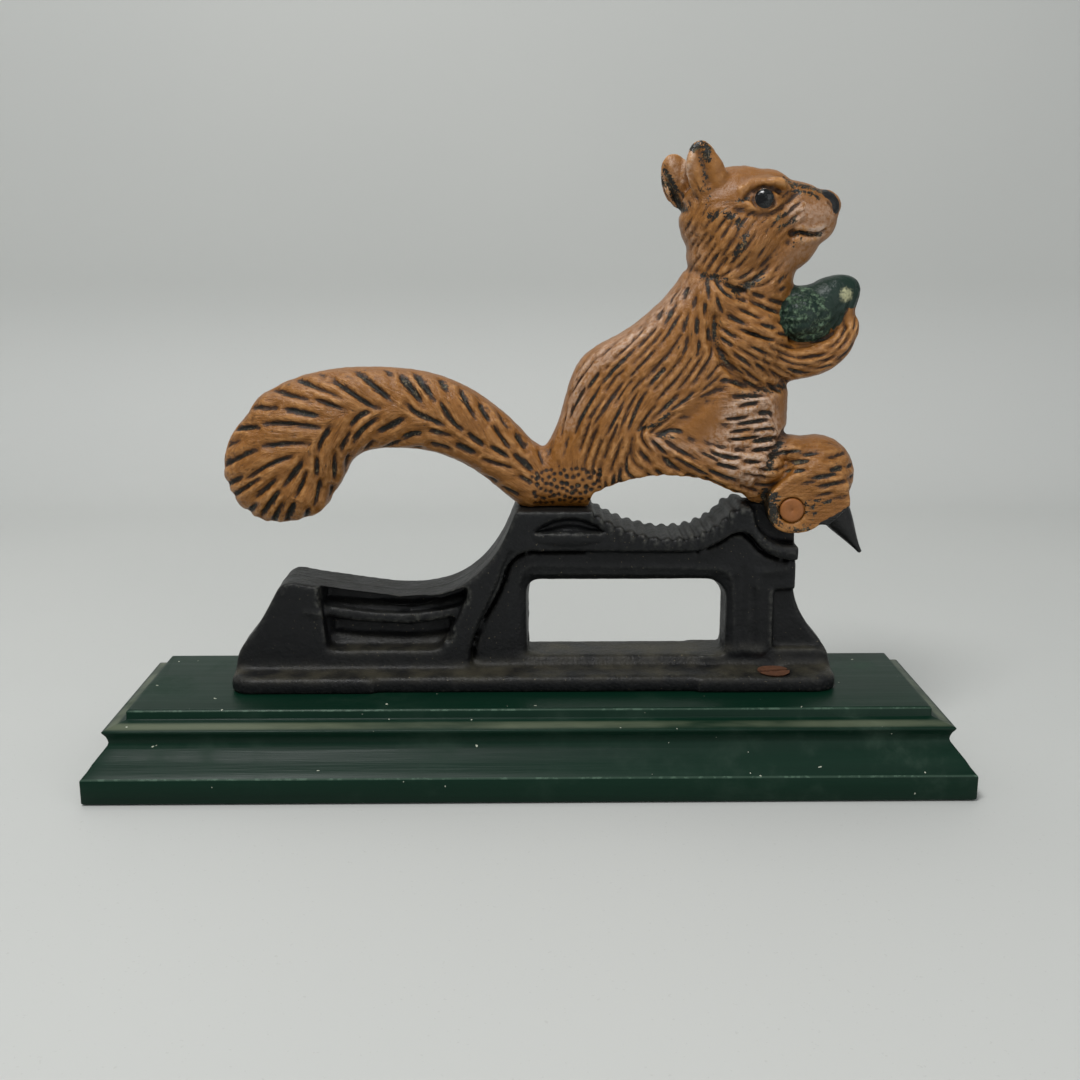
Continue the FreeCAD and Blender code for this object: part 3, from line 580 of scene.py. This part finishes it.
# the acorn's cap is a ball that stands out of the chest on both sides
CAP_X, CAP_Z = seen(806.0, 317.0, -2.0)
CAP_RADIUS, CAP_HALF = 8.4, 10.4
cap_out = np.hypot(figure.at[:, 0] - CAP_X, figure.at[:, 2] - CAP_Z) / CAP_RADIUS
cap_skin = CAP_HALF * np.sqrt(np.clip(1 - cap_out ** 2, 0, 1))
depth_off = figure.at[:, 1] - CAST_Y
swell = np.clip(cap_skin - np.abs(depth_off), 0, 3.0)
swell *= (figure.at[:, 2] > CAP_Z - 7.0) * (np.abs(depth_off) > 3.0)
figure.at[:, 1] += np.sign(depth_off) * swell
figure.write()

# (from, to, pitch, depth, run): which way the fur lies there, how far apart its cuts are, how deep
# and how long
FUR = [
    # tail, outer side from the root to the tip
    ((511, 424), (538, 462), 3.9, 1.2, 12), ((484, 423), (502, 452), 4.0, 1.3, 13),
    ((446, 392), (462, 420), 4.2, 1.3, 14), ((408, 375), (436, 410), 4.4, 1.3, 15),
    ((372, 376), (405, 403), 4.5, 1.3, 16), ((335, 378), (370, 401), 4.5, 1.2, 17),
    ((293, 385), (343, 402), 4.7, 1.2, 18), ((273, 409), (343, 421), 4.7, 1.2, 20),
    ((243, 438), (317, 437), 4.7, 1.2, 20), ((240, 455), (310, 446), 4.7, 1.3, 20),
    ((236, 482), (293, 450), 4.5, 1.3, 18), ((250, 500), (300, 457), 4.4, 1.3, 16),
    ((274, 514), (306, 468), 4.2, 1.3, 14), ((292, 518), (306, 480), 4.0, 1.3, 12),
    ((313, 508), (318, 467), 4.0, 1.3, 13),
    # tail, inner side
    ((328, 484), (327, 450), 4.0, 1.3, 13), ((335, 455), (352, 422), 4.2, 1.3, 13),
    ((343, 460), (367, 423), 4.2, 1.3, 12), ((357, 443), (397, 420), 4.2, 1.2, 13),
    ((377, 443), (410, 424), 4.0, 1.2, 13), ((397, 442), (440, 436), 4.0, 1.2, 14),
    ((423, 437), (463, 450), 4.0, 1.2, 14), ((443, 444), (483, 463), 3.9, 1.2, 13),
    ((475, 459), (508, 464), 3.9, 1.2, 12), ((483, 473), (518, 484), 3.9, 1.2, 11),
    ((512, 486), (536, 498), 3.9, 0.8, 8),
    # back and flank
    ((630, 345), (609, 364), 2.4, 0.8, 15), ((609, 355), (578, 395), 2.4, 0.8, 16),
    ((666, 336), (635, 368), 2.4, 0.8, 16), ((685, 351), (641, 400), 2.4, 0.8, 16),
    ((658, 355), (628, 389), 2.4, 0.8, 16), ((595, 380), (578, 414), 2.4, 0.8, 16),
    ((609, 391), (588, 420), 2.4, 0.8, 16), ((637, 383), (609, 418), 2.4, 0.8, 16),
    ((675, 372), (649, 400), 2.3, 0.8, 15), ((704, 357), (683, 389), 2.3, 0.8, 15),
    ((719, 368), (696, 400), 2.3, 0.7, 14), ((670, 410), (645, 429), 2.4, 0.9, 14),
    ((633, 404), (630, 420), 2.4, 0.8, 14), ((561, 418), (557, 440), 2.5, 0.6, 12),
    ((597, 444), (591, 460), 2.6, 1.0, 14), ((618, 433), (603, 465), 2.5, 1.0, 15),
    ((609, 435), (601, 477), 2.5, 1.0, 15), ((624, 440), (614, 469), 2.5, 1.0, 14),
    ((568, 440), (560, 462), 2.8, 0.6, 10), ((676, 312), (650, 345), 2.5, 0.7, 15),
    ((690, 300), (672, 318), 2.5, 0.5, 12),
    # haunch fan, with the smooth thigh over it
    ((643, 444), (658, 467), 3.0, 1.1, 10), ((649, 444), (675, 465), 3.0, 1.1, 12),
    ((658, 440), (708, 465), 3.2, 1.0, 13), ((675, 448), (721, 475), 3.0, 1.0, 13),
    ((641, 454), (654, 471), 3.0, 1.0, 9), ((632, 467), (650, 474), 3.2, 0.7, 7),
    ((680, 420), (715, 430), 3.9, 0.0, 6), ((695, 408), (722, 415), 3.9, 0.0, 6),
    ((690, 437), (715, 447), 3.9, 0.1, 6), ((708, 395), (725, 396), 3.9, 0.0, 6),
    # belly ridges
    ((729, 404), (763, 397), 3.0, 1.1, 11), ((725, 416), (772, 410), 2.9, 1.2, 12),
    ((725, 425), (776, 418), 2.9, 1.2, 12), ((721, 435), (776, 429), 2.9, 1.2, 12),
    ((719, 446), (778, 440), 2.9, 1.2, 12), ((713, 454), (772, 456), 2.7, 1.2, 12),
    ((708, 461), (767, 465), 2.7, 1.2, 12), ((725, 469), (763, 475), 2.7, 1.2, 11),
    ((729, 475), (759, 482), 2.7, 1.1, 10), ((725, 477), (759, 496), 2.9, 1.1, 10),
    ((708, 467), (742, 486), 3.0, 1.1, 11), ((775, 398), (782, 430), 4.2, 0.0, 6),
    # knee
    ((786, 467), (839, 452), 2.9, 0.8, 12), ((778, 477), (847, 465), 2.9, 1.0, 12),
    ((776, 484), (814, 475), 2.8, 1.0, 10), ((805, 482), (849, 477), 2.9, 1.0, 10),
    ((772, 490), (801, 484), 2.8, 1.0, 9), ((801, 498), (849, 490), 2.9, 1.0, 10),
    ((803, 507), (843, 496), 2.9, 1.0, 9), ((800, 445), (830, 442), 3.6, 0.1, 6),
    ((775, 510), (800, 525), 3.6, 0.0, 6),
    # neck, chest and shoulder
    ((722, 285), (762, 304), 3.0, 1.1, 11), ((719, 295), (764, 318), 3.0, 1.1, 12),
    ((722, 309), (767, 331), 3.0, 1.1, 12), ((726, 318), (769, 335), 3.0, 1.1, 12),
    ((731, 328), (781, 345), 3.0, 1.1, 12), ((736, 337), (788, 343), 3.0, 1.0, 11),
    ((690, 306), (690, 321), 3.6, 0.8, 6), ((700, 324), (701, 337), 3.6, 0.8, 6),
    ((680, 300), (668, 322), 3.3, 0.6, 8), ((707, 300), (708, 312), 3.9, 0.5, 5),
    # forearm and paw
    ((731, 362), (757, 383), 2.4, 0.8, 10), ((746, 359), (767, 380), 2.4, 0.8, 10),
    ((760, 359), (781, 374), 2.4, 0.8, 10), ((770, 359), (796, 374), 2.4, 0.8, 10),
    ((793, 355), (822, 354), 2.3, 0.7, 11), ((798, 349), (832, 342), 2.3, 0.7, 11),
    ((805, 359), (848, 350), 2.3, 0.7, 11), ((831, 359), (853, 337), 2.3, 0.7, 10),
    ((848, 337), (853, 319), 2.3, 0.7, 8), ((730, 345), (750, 358), 2.6, 0.5, 8),
    # cheek and muzzle
    ((722, 226), (702, 254), 2.2, 0.6, 10), ((709, 222), (698, 240), 2.2, 0.5, 10),
    ((740, 219), (729, 233), 2.2, 0.6, 8), ((746, 233), (733, 257), 2.3, 0.7, 9),
    ((690, 225), (684, 240), 2.5, 0.4, 8), ((760, 268), (740, 285), 2.3, 0.7, 10),
    ((801, 196), (778, 219), 2.1, 0.5, 10), ((789, 212), (774, 226), 2.1, 0.5, 9),
    ((770, 240), (755, 258), 2.6, 0.3, 9), ((735, 175), (760, 170), 3.4, 0.0, 6),
    ((720, 190), (735, 190), 3.4, 0.1, 6), ((766, 203), (770, 203), 3.4, 0.0, 6),
    ((815, 205), (825, 215), 3.4, 0.0, 6), ((800, 255), (815, 245), 3.4, 0.1, 6),
    ((800, 305), (840, 300), 3.4, 0.0, 6), ((695, 160), (700, 172), 3.4, 0.0, 6),
    ((843, 515), (855, 545), 3.4, 0.0, 6), ((676, 180), (684, 195), 2.1, 0.5, 9),
    # rump
    ((548, 470), (560, 492), 2.4, 0.0, 5), ((575, 475), (583, 495), 2.4, 0.0, 5),
]
fur_from = np.array([seen(*row[0], HIDE) for row in FUR])
fur_to = np.array([seen(*row[1], HIDE) for row in FUR])
fur_middle = (fur_from + fur_to) / 2
fur_lie = np.arctan2(*(fur_to - fur_from).T[::-1])
fur_terms = np.column_stack([np.cos(2 * fur_lie), np.sin(2 * fur_lie), [row[2:] for row in FUR]])
FUR_BLEND = 4.2


def fur_at(places):
    """Lie, pitch, depth and run of the fur at (x, z) places, blended from the readings nearest to them."""
    gap = ((places[:, None] - fur_middle[None]) ** 2).sum(2)
    weight = np.exp(-(gap - gap.min(1, keepdims=True)) / (2 * FUR_BLEND ** 2))
    terms = weight @ fur_terms / weight.sum(1, keepdims=True)
    return 0.5 * np.arctan2(terms[:, 1], terms[:, 0]), terms[:, 2], terms[:, 3], terms[:, 4]


chance = np.random.default_rng(11)
STROKE_STEP = 0.45
# shares of the pitch kept free round a new cut's start and along it; wider cuts are wet tufts
SEED_GAP, LINE_GAP, TUFT_PITCH = 0.84, 0.42, 2.8
SHALLOWEST_CUT, SHORTEST_CUT = 0.12, 2.2
front = np.flatnonzero(figure.facing[:, 1] < -0.05)
seeds = figure.at[chance.choice(front, 9000, replace=False)][:, [0, 2]]
drawn = np.full((60000, 2), 1e6)
drawn_count = 0
cuts, spacing, taper, darkness = [], [], [], []
for seed in seeds:
    lie, pitch, depth, run = (float(v[0]) for v in fur_at(seed[None]))
    if depth < SHALLOWEST_CUT or np.hypot(*(drawn[:drawn_count] - seed).T).min(initial=9) < SEED_GAP * pitch:
        continue
    wet = pitch > TUFT_PITCH
    run *= chance.uniform(0.55, 1.2)
    halves = []
    for way in (1, -1):
        here, heading, half = seed.copy(), lie, []
        for _ in range(int(run / 2 / STROKE_STEP)):
            turn = float(fur_at(here[None])[0][0])
            if math.cos(turn - heading) < 0:
                turn += math.pi
            heading = turn
            here = here + way * STROKE_STEP * np.array([math.cos(heading), math.sin(heading)])
            if np.hypot(*(drawn[:drawn_count] - here).T).min(initial=9) < LINE_GAP * pitch:
                break
            half.append(here)
        halves.append(half)
    stroke = halves[1][::-1] + [seed] + halves[0]
    if len(stroke) * STROKE_STEP < SHORTEST_CUT:
        continue
    drawn[drawn_count:drawn_count + len(stroke)] = stroke
    drawn_count += len(stroke)
    along = np.linspace(0, 1, len(stroke))
    cuts += [depth] * len(stroke)
    spacing += [pitch * chance.uniform(0.7, 1.25)] * len(stroke)
    taper += list(np.minimum(1, 5 * np.minimum(along + 0.02, 1.02 - along)) ** 0.7)
    dark = chance.uniform(0.6, 1.3) if wet or chance.random() < 0.5 else chance.uniform(0.0, 0.5)
    dark *= 0.7 if depth < 0.75 else 1.0
    reach = chance.uniform(0.25, 0.6) + chance.uniform(0.0, 0.6) * wet
    darkness += list(dark * bell(along - chance.uniform(0.3, 0.7), reach))

lines = KDTree(drawn_count)
for i, (px, pz) in enumerate(drawn[:drawn_count]):
    lines.insert((px, pz, 0), i)
lines.balance()
found = [lines.find((px, pz, 0)) for px, pz in figure.at[:, [0, 2]]]
which = np.array([f[1] for f in found])
gap = np.array([f[2] for f in found])
cut_depth = np.array(cuts)[which] * np.array(taper)[which]
pitch_here = np.array(spacing)[which]
groove = bell(gap, 0.19 * pitch_here)
crown = 1 - bell(gap, 0.42 * pitch_here)
fur_lies, _, fur_depth, _ = fur_at(figure.at[:, [0, 2]])
edge_on = np.where((figure.at[:, 2] < 98) & (figure.at[:, 0] < -40), 0.16, 0.26)
broadside = np.clip((np.abs(figure.facing[:, 1]) - edge_on) / 0.3, 0, 1)
live = hold * np.clip(fur_depth * 2, 0, 1) * broadside
wander = 1 + 0.35 * figure.grit(5.0, 4)
figure.raise_by((0.5 * fur_depth * crown * wander - 0.75 * cut_depth * groove) * live)
dark = groove * np.array(darkness)[which] * np.array(taper)[which] * live

# stippled rump
pits = []
stipple_low, stipple_high = seen(532, 507, HIDE), seen(600, 458, HIDE)
for _ in range(900):
    spot = (chance.uniform(stipple_low[0], stipple_high[0]), chance.uniform(stipple_low[1], stipple_high[1]))
    if all(math.dist(spot, p) > 1.6 for p in pits):
        pits.append(spot)
holes = KDTree(len(pits))
for i, (px, pz) in enumerate(pits):
    holes.insert((px, pz, 0), i)
holes.balance()
jitter = 0.6 * figure.grit(1.5, 5)
pit = np.array([holes.find((px, pz, 0))[2] for px, pz in figure.at[:, [0, 2]]]) + jitter
rump = bell(np.maximum(0, figure.away(traced((545, 490), (590, 485))) - 5.0), 1.5)
pit_depth = broadside * bell(pit, 0.66) * rump
figure.raise_by(-0.6 * pit_depth * hold)
dark = np.maximum(dark, 0.9 * pit_depth)

# uneven casting all over, and the ball of each eye in its socket
figure.raise_by((0.14 * figure.grit(3.6, 6) + 0.10 * figure.grit(1.6, 7)) * hold)
EYE_X, EYE_Z = seen(765.2, 198.3, -5.5)
EYE_RADIUS = 3.0
eye_out = np.hypot(figure.at[:, 0] - EYE_X, figure.at[:, 2] - EYE_Z)
ball = np.sqrt(np.clip(1 - (eye_out / (EYE_RADIUS + 0.1)) ** 2, 0, 1))
socket = bell(eye_out - EYE_RADIUS - 0.5, 0.55)
figure.raise_by((1.1 * ball - 0.6 * socket) * np.clip(np.abs(figure.facing[:, 1]) * 2, 0, 1))

x, y, z = figure.at.T


def inside(cx, cz, rx, ry, rz, lean):
    """How far out each point is in an ellipsoid that leans up to the right; 1 is its skin."""
    c, s = math.cos(math.radians(lean)), math.sin(math.radians(lean))
    u, w = (x - cx) * c + (z - cz) * s, -(x - cx) * s + (z - cz) * c
    return np.sqrt((u / rx) ** 2 + ((y - CAST_Y) / ry) ** 2 + (w / rz) ** 2)


cap = inside(88.4, 147.4, 8.6, 9.2, 10.2, 31)
nut = np.minimum(inside(94.7, 151.2, 13.1, 7.4, 7.6, 31), inside(97.2, 148.8, 8.5, 6.4, 6.5, 31))
grasp_line = traced((786, 300), (782, 318), (788, 336), (800, 343), (818, 341), (836, 333),
                    (846, 322), (850, 308))
grasp_low = np.interp(x, [p[0] for p in grasp_line[2:]], [p[1] for p in grasp_line[2:]])
cap = np.minimum(cap, np.hypot(x - CAP_X, z - CAP_Z) / CAP_RADIUS + 0.07)
acorn = np.clip((1.07 - np.minimum(cap, nut)) / 0.03, 0, 1) * (z > grasp_low - 0.3)
acorn_cap = np.clip((1.07 - cap) / 0.05, 0, 1)
claw_line = traced((822, 520), (836, 512), (843, 507), (852, 504))
claw_low = np.interp(x, [p[0] for p in claw_line], [p[1] for p in claw_line])
claw = ((x > claw_line[0][0] - 1.5) & (z < claw_low + (x > 104.5) * 3)).astype(float)
nose = np.clip((1.5 - figure.away(traced((831, 192.5), (836.5, 196), (840.5, 202), (841, 209)))) / 0.4, 0, 1)


def shaded(width, *points, core=0.0):
    """Paint mask, 1 within core of a line through photograph points and fading beside it."""
    return bell(np.maximum(0, figure.away(traced(*points)) - core), width)


pink = np.maximum.reduce([
    0.95 * shaded(2.4, (735, 412), (762, 408), (772, 440), (748, 470), (722, 440), core=3.2),
    0.9 * shaded(2.2, (800, 213), (828, 214), (822, 226), core=2.0),
    0.7 * shaded(1.8, (568, 425), (585, 372), (610, 352), (650, 325), (688, 288), core=0.8),
    0.8 * shaded(1.3, (693, 150), (688, 178)), 0.8 * shaded(2.0, (662, 170), (668, 192)),
    0.6 * shaded(1.4, (676, 160), (684, 176)),
    0.5 * shaded(2.2, (655, 440), (690, 445), (712, 455)), 0.4 * shaded(3.0, (691, 235), (697, 255)),
    0.6 * shaded(3.0, (790, 262), (804, 253), (814, 243)), 0.5 * shaded(2.0, (672, 218), (684, 200)),
])
# Dark paint patches, and painted shade along the creases: mouth, nostril, ear hollows, eye corner, armpit,
# neck and beside the pin.
patches_and_crease_shade = np.maximum.reduce([
    0.95 * shaded(1.5, (710, 217), (722, 214), (734, 218), (739, 226)),
    0.95 * shaded(1.5, (745, 236), (741, 246), (734, 253)),
    0.9 * shaded(1.5, (704, 276), (716, 277), (727, 282)),
    0.95 * shaded(1.9, (735, 291), (748, 286), (762, 274)),
    shaded(1.0, (787, 178.5), (797, 183.5), (810, 186.5), (829, 191)),
    0.8 * shaded(1.1, (795, 190), (812, 192), (822, 197)),
    0.95 * shaded(0.9, (774, 221), (787, 214)), 0.9 * shaded(0.8, (779, 228), (797, 220)),
    1.0 * shaded(1.0, (797, 233.5), (805, 232.5), (815, 235), (824, 234)),
    0.8 * shaded(1.3, (795, 246), (800, 238)),
    1.2 * shaded(1.8, (694, 147), (702, 144), (709, 150)), 1.1 * shaded(1.2, (706, 150), (709, 160)),
    0.75 * shaded(1.2, (702, 160), (706, 176), (704, 190)),
    1.2 * shaded(0.9, (669, 168), (683, 190)), 1.2 * shaded(0.9, (667, 178), (679, 196)),
    0.6 * shaded(1.6, (664, 160), (670, 172)),
    1.1 * shaded(1.6, (680, 197), (686, 209)),
    1.0 * shaded(1.1, (714, 322), (715, 343), (720, 354), (726, 362)),
    0.7 * shaded(1.2, (711, 190), (706, 204)), 0.9 * shaded(0.8, (737, 201), (748, 199)),
    1.5 * shaded(2.6, (769, 497), (771, 508), (774, 517)),
    1.3 * shaded(0.9, (806, 503), (816, 501), (828, 500)), 1.2 * shaded(0.9, (806, 511), (818, 511)),
    0.8 * shaded(1.4, (775, 520), (790, 530), (806, 528)),
    0.95 * shaded(1.8, (782, 446), (775, 456), (768, 470)),
    0.7 * shaded(1.6, (742, 396), (765, 392), (788, 388)),
    0.9 * shaded(1.0, (640, 428), (655, 424), (668, 412)), 0.8 * shaded(1.3, (657, 433), (668, 437)),
])
# ridge and hollow mark raised and sunk places; the finish paints highlight on the first and shade in the
# second.
stands_out = figure.proud(8)
for name, values in (("cuts", dark), ("patches_and_crease_shade", patches_and_crease_shade), ("acorn", acorn), ("acorn_cap", acorn_cap),
                     ("black_parts", np.maximum(claw, nose)), ("pink", pink),
                     ("lie_cos", 0.5 + 0.5 * np.cos(2 * fur_lies)),
                     ("lie_sin", 0.5 + 0.5 * np.sin(2 * fur_lies)),
                     ("furry", fur_depth * 2.0 * (1 - acorn) * broadside),
                     ("ridge", figure.spread(np.clip((stands_out - 0.02) / 0.2, 0, 1), 1)),
                     ("hollow", figure.spread(np.clip((-stands_out - 0.01) / 0.2, 0, 1), 1))):
    figure.carry(name, values)
figure.thin_to(195000)

fur = Finish("orange_brown_enamel")
fur_x, fur_z = fur.across()
flake = fur.grain(1500.0, 3.0, 0.6)
cloud = fur.grain(110.0, 4.0, 0.55)
rub = fur.grain(420.0, 4.0, 0.6)
blot = fur.grain(700.0, 3.0, 0.65)
# fine hairs: noise drawn out in six directions, the ones nearest to the fur's lie mixed
lie_cos, lie_sin = fur.carried("lie_cos") * 2.0 - 1.0, fur.carried("lie_sin") * 2.0 - 1.0
hair_sum, weight_sum = flake * 0.001, flake * 0.001
for turn in range(6):
    angle = math.pi * turn / 6
    weight = (lie_cos * math.cos(2 * angle) + lie_sin * math.sin(2 * angle)).step(0.5, 1.0)
    along_fur = fur.node("ShaderNodeMapping", {"vector_type": "TEXTURE"},
                         {"Vector": fur.place, "Rotation": (0, -angle, 0), "Scale": (9, 1, 1)})
    hair = fur.node("ShaderNodeTexNoise", {}, {"Vector": along_fur, "Scale": 1150.0, "Detail": 3.0,
                                               "Roughness": 0.6}, "Fac")
    hair_sum = hair_sum + hair * weight
    weight_sum = weight_sum + weight
strand = (hair_sum / weight_sum - 0.5) * fur.carried("furry").step(0.1, 0.8)
mottle = (flake - 0.5) * 0.4 + (rub - 0.5) * 0.4 - strand * 1.6
ridge, hollow = fur.carried("ridge"), fur.carried("hollow")
# Where the black ground shows: in the cuts, and more in the hollows as painted shade.
cut = fur.carried("cuts") * 1.15 + hollow * 0.25 + mottle + (blot - 0.5) * 0.5
bare = cut.step(0.56, 0.90)
patchy_and_crease_shade = (fur.carried("patches_and_crease_shade") + (blot - 0.5) * 1.6 + (flake - 0.5) * 1.9 - strand * 2.4).step(0.60, 0.78)
orange = fur.mix(cloud, paint(114, 70, 20), paint(142, 91, 33))
# Painted highlight on the ridges and along the hairs, with some rubbed wear.
ridge_highlight_and_wear = fur.mix((ridge + strand * 1.6) * rub.step(0.25, 0.7) * 0.75, orange, paint(204, 150, 92))
# Pink paint on the belly, muzzle, ears and back, laid strongest on the ridges as a painted highlight.
pink_and_ridge_highlight = fur.carried("pink") * (ridge * 0.8 + 0.3 + strand) * blot.step(0.3, 0.6)
rosy = fur.mix(pink_and_ridge_highlight, ridge_highlight_and_wear, paint(206, 180, 160))
# Painted shade: dark brown in the hollows, and the brown of the cuts.
hollow_shade_and_cut_brown = fur.mix(hollow * 0.8 - strand * 0.9 + cut.step(0.12, 0.60), rosy, paint(56, 31, 8))
ground = fur.mix(cloud, paint(14, 11, 6), paint(27, 25, 16))
ground = fur.mix((flake + rub - 1.0).step(0.10, 0.20) * 0.6, ground, paint(118, 104, 76))
hide = fur.mix(bare, hollow_shade_and_cut_brown, ground)
hide = fur.mix(patchy_and_crease_shade, hide, ground)
scratch = fur.grain(560.0, 6.0, 0.75).step(0.47, 0.62) * fur.carried("acorn_cap")
leaf = fur.mix(cloud, paint(4, 28, 19), paint(10, 42, 30))
leaf = fur.mix(scratch * 0.75, leaf, paint(112, 138, 110))
# Painted highlight: a cream spot with broken edges near the acorn's tip.
TIP_X, TIP_Z = seen(847.0, 295.0, 0.0)
tip_x, tip_z = fur_x - TIP_X, fur_z - TIP_Z
tip_highlight = (tip_x * tip_x + tip_z * tip_z + (blot - 0.5) * 12.0 + (flake - 0.5) * 12.0).step(8.0, -1.5)
leaf = fur.mix(tip_highlight * 0.9, leaf, paint(182, 180, 140))
hide = fur.mix(fur.carried("acorn").step(0.4, 0.6), hide, leaf)
hide = fur.mix(fur.carried("black_parts").step(0.4, 0.6), hide, paint(15, 15, 16))
eye_x, eye_z = fur_x - EYE_X, fur_z - EYE_Z
eye = (eye_x * eye_x + eye_z * eye_z).step(EYE_RADIUS ** 2 + 0.6, EYE_RADIUS ** 2 - 0.6)
# The eye's black mottled with grey: partly worn paint, partly a painted sheen.
hide = fur.mix(eye, hide, fur.mix(blot.step(0.45, 0.62), paint(6, 7, 8), paint(34, 38, 38)))
hide_relief = (flake * 0.3 + rub * 0.8 + scratch * 0.5 + strand * 1.6) * (1.0 - eye)
fur.surface(Base_Color=hide, Roughness=0.30 + flake * 0.14 + hollow * 0.25 - eye * 0.24,
            Specular_IOR_Level=0.40, Normal=fur.relief(hide_relief, 0.00045))
figure.piece.data.materials.append(fur.material)
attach(figure.piece, "lever")
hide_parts("squirrel_lever")


# The pivot pin: a plain steel rod through the fork and the tongue, its flat
# head painted over with the figure's orange, and a small centre mark left by
# the riveting tool.
pin_paint = Finish("painted_pin_head")
pin_cloud = pin_paint.grain(500.0, 4.0, 0.6)
pin_paint.surface(Base_Color=pin_paint.mix(pin_cloud, paint(122, 72, 26), paint(152, 92, 38)),
                  Roughness=pin_cloud * 0.2 + 0.4, Normal=pin_paint.relief(pin_cloud, 0.0003))
# (radius, distance behind the middle of the castings) along the pin, from the centre mark to the
# peened end
PIN_OUTLINE = [(0.0, -11.85), (0.35, -11.95), (0.6, -12.18), (3.3, -12.2), (3.75, -12.05),
               (3.9, -11.7), (3.9, -10.6), (2.5, -10.6), (2.5, 11.9), (3.9, 11.9), (3.75, 12.3),
               (3.1, 12.8), (1.8, 13.08), (0.0, 13.1)]
bm = bmesh.new()
profile = [bm.verts.new((PIVOT_X + radius, CAST_Y + back, PIVOT_Z)) for radius, back in PIN_OUTLINE]
runs = [bm.edges.new(pair) for pair in zip(profile, profile[1:])]
bmesh.ops.spin(bm, geom=profile + runs, cent=(PIVOT_X, CAST_Y, PIVOT_Z), axis=(0, 1, 0), angle=2 * math.pi,
               steps=56, use_merge=True)
bmesh.ops.remove_doubles(bm, verts=bm.verts, dist=1e-4)
bmesh.ops.recalc_face_normals(bm, faces=bm.faces)
bmesh.ops.scale(bm, verts=bm.verts, vec=(0.001, 0.001, 0.001))
pin_mesh = bpy.data.meshes.new("painted_pin")
for face in bm.faces:
    face.smooth = True
bm.to_mesh(pin_mesh)
bm.free()
pin = bpy.data.objects.new("painted_pin", pin_mesh)
bpy.context.scene.collection.objects.link(pin)
pin_mesh.materials.append(pin_paint.material)
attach(pin, "lever")
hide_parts("pivot_pin")
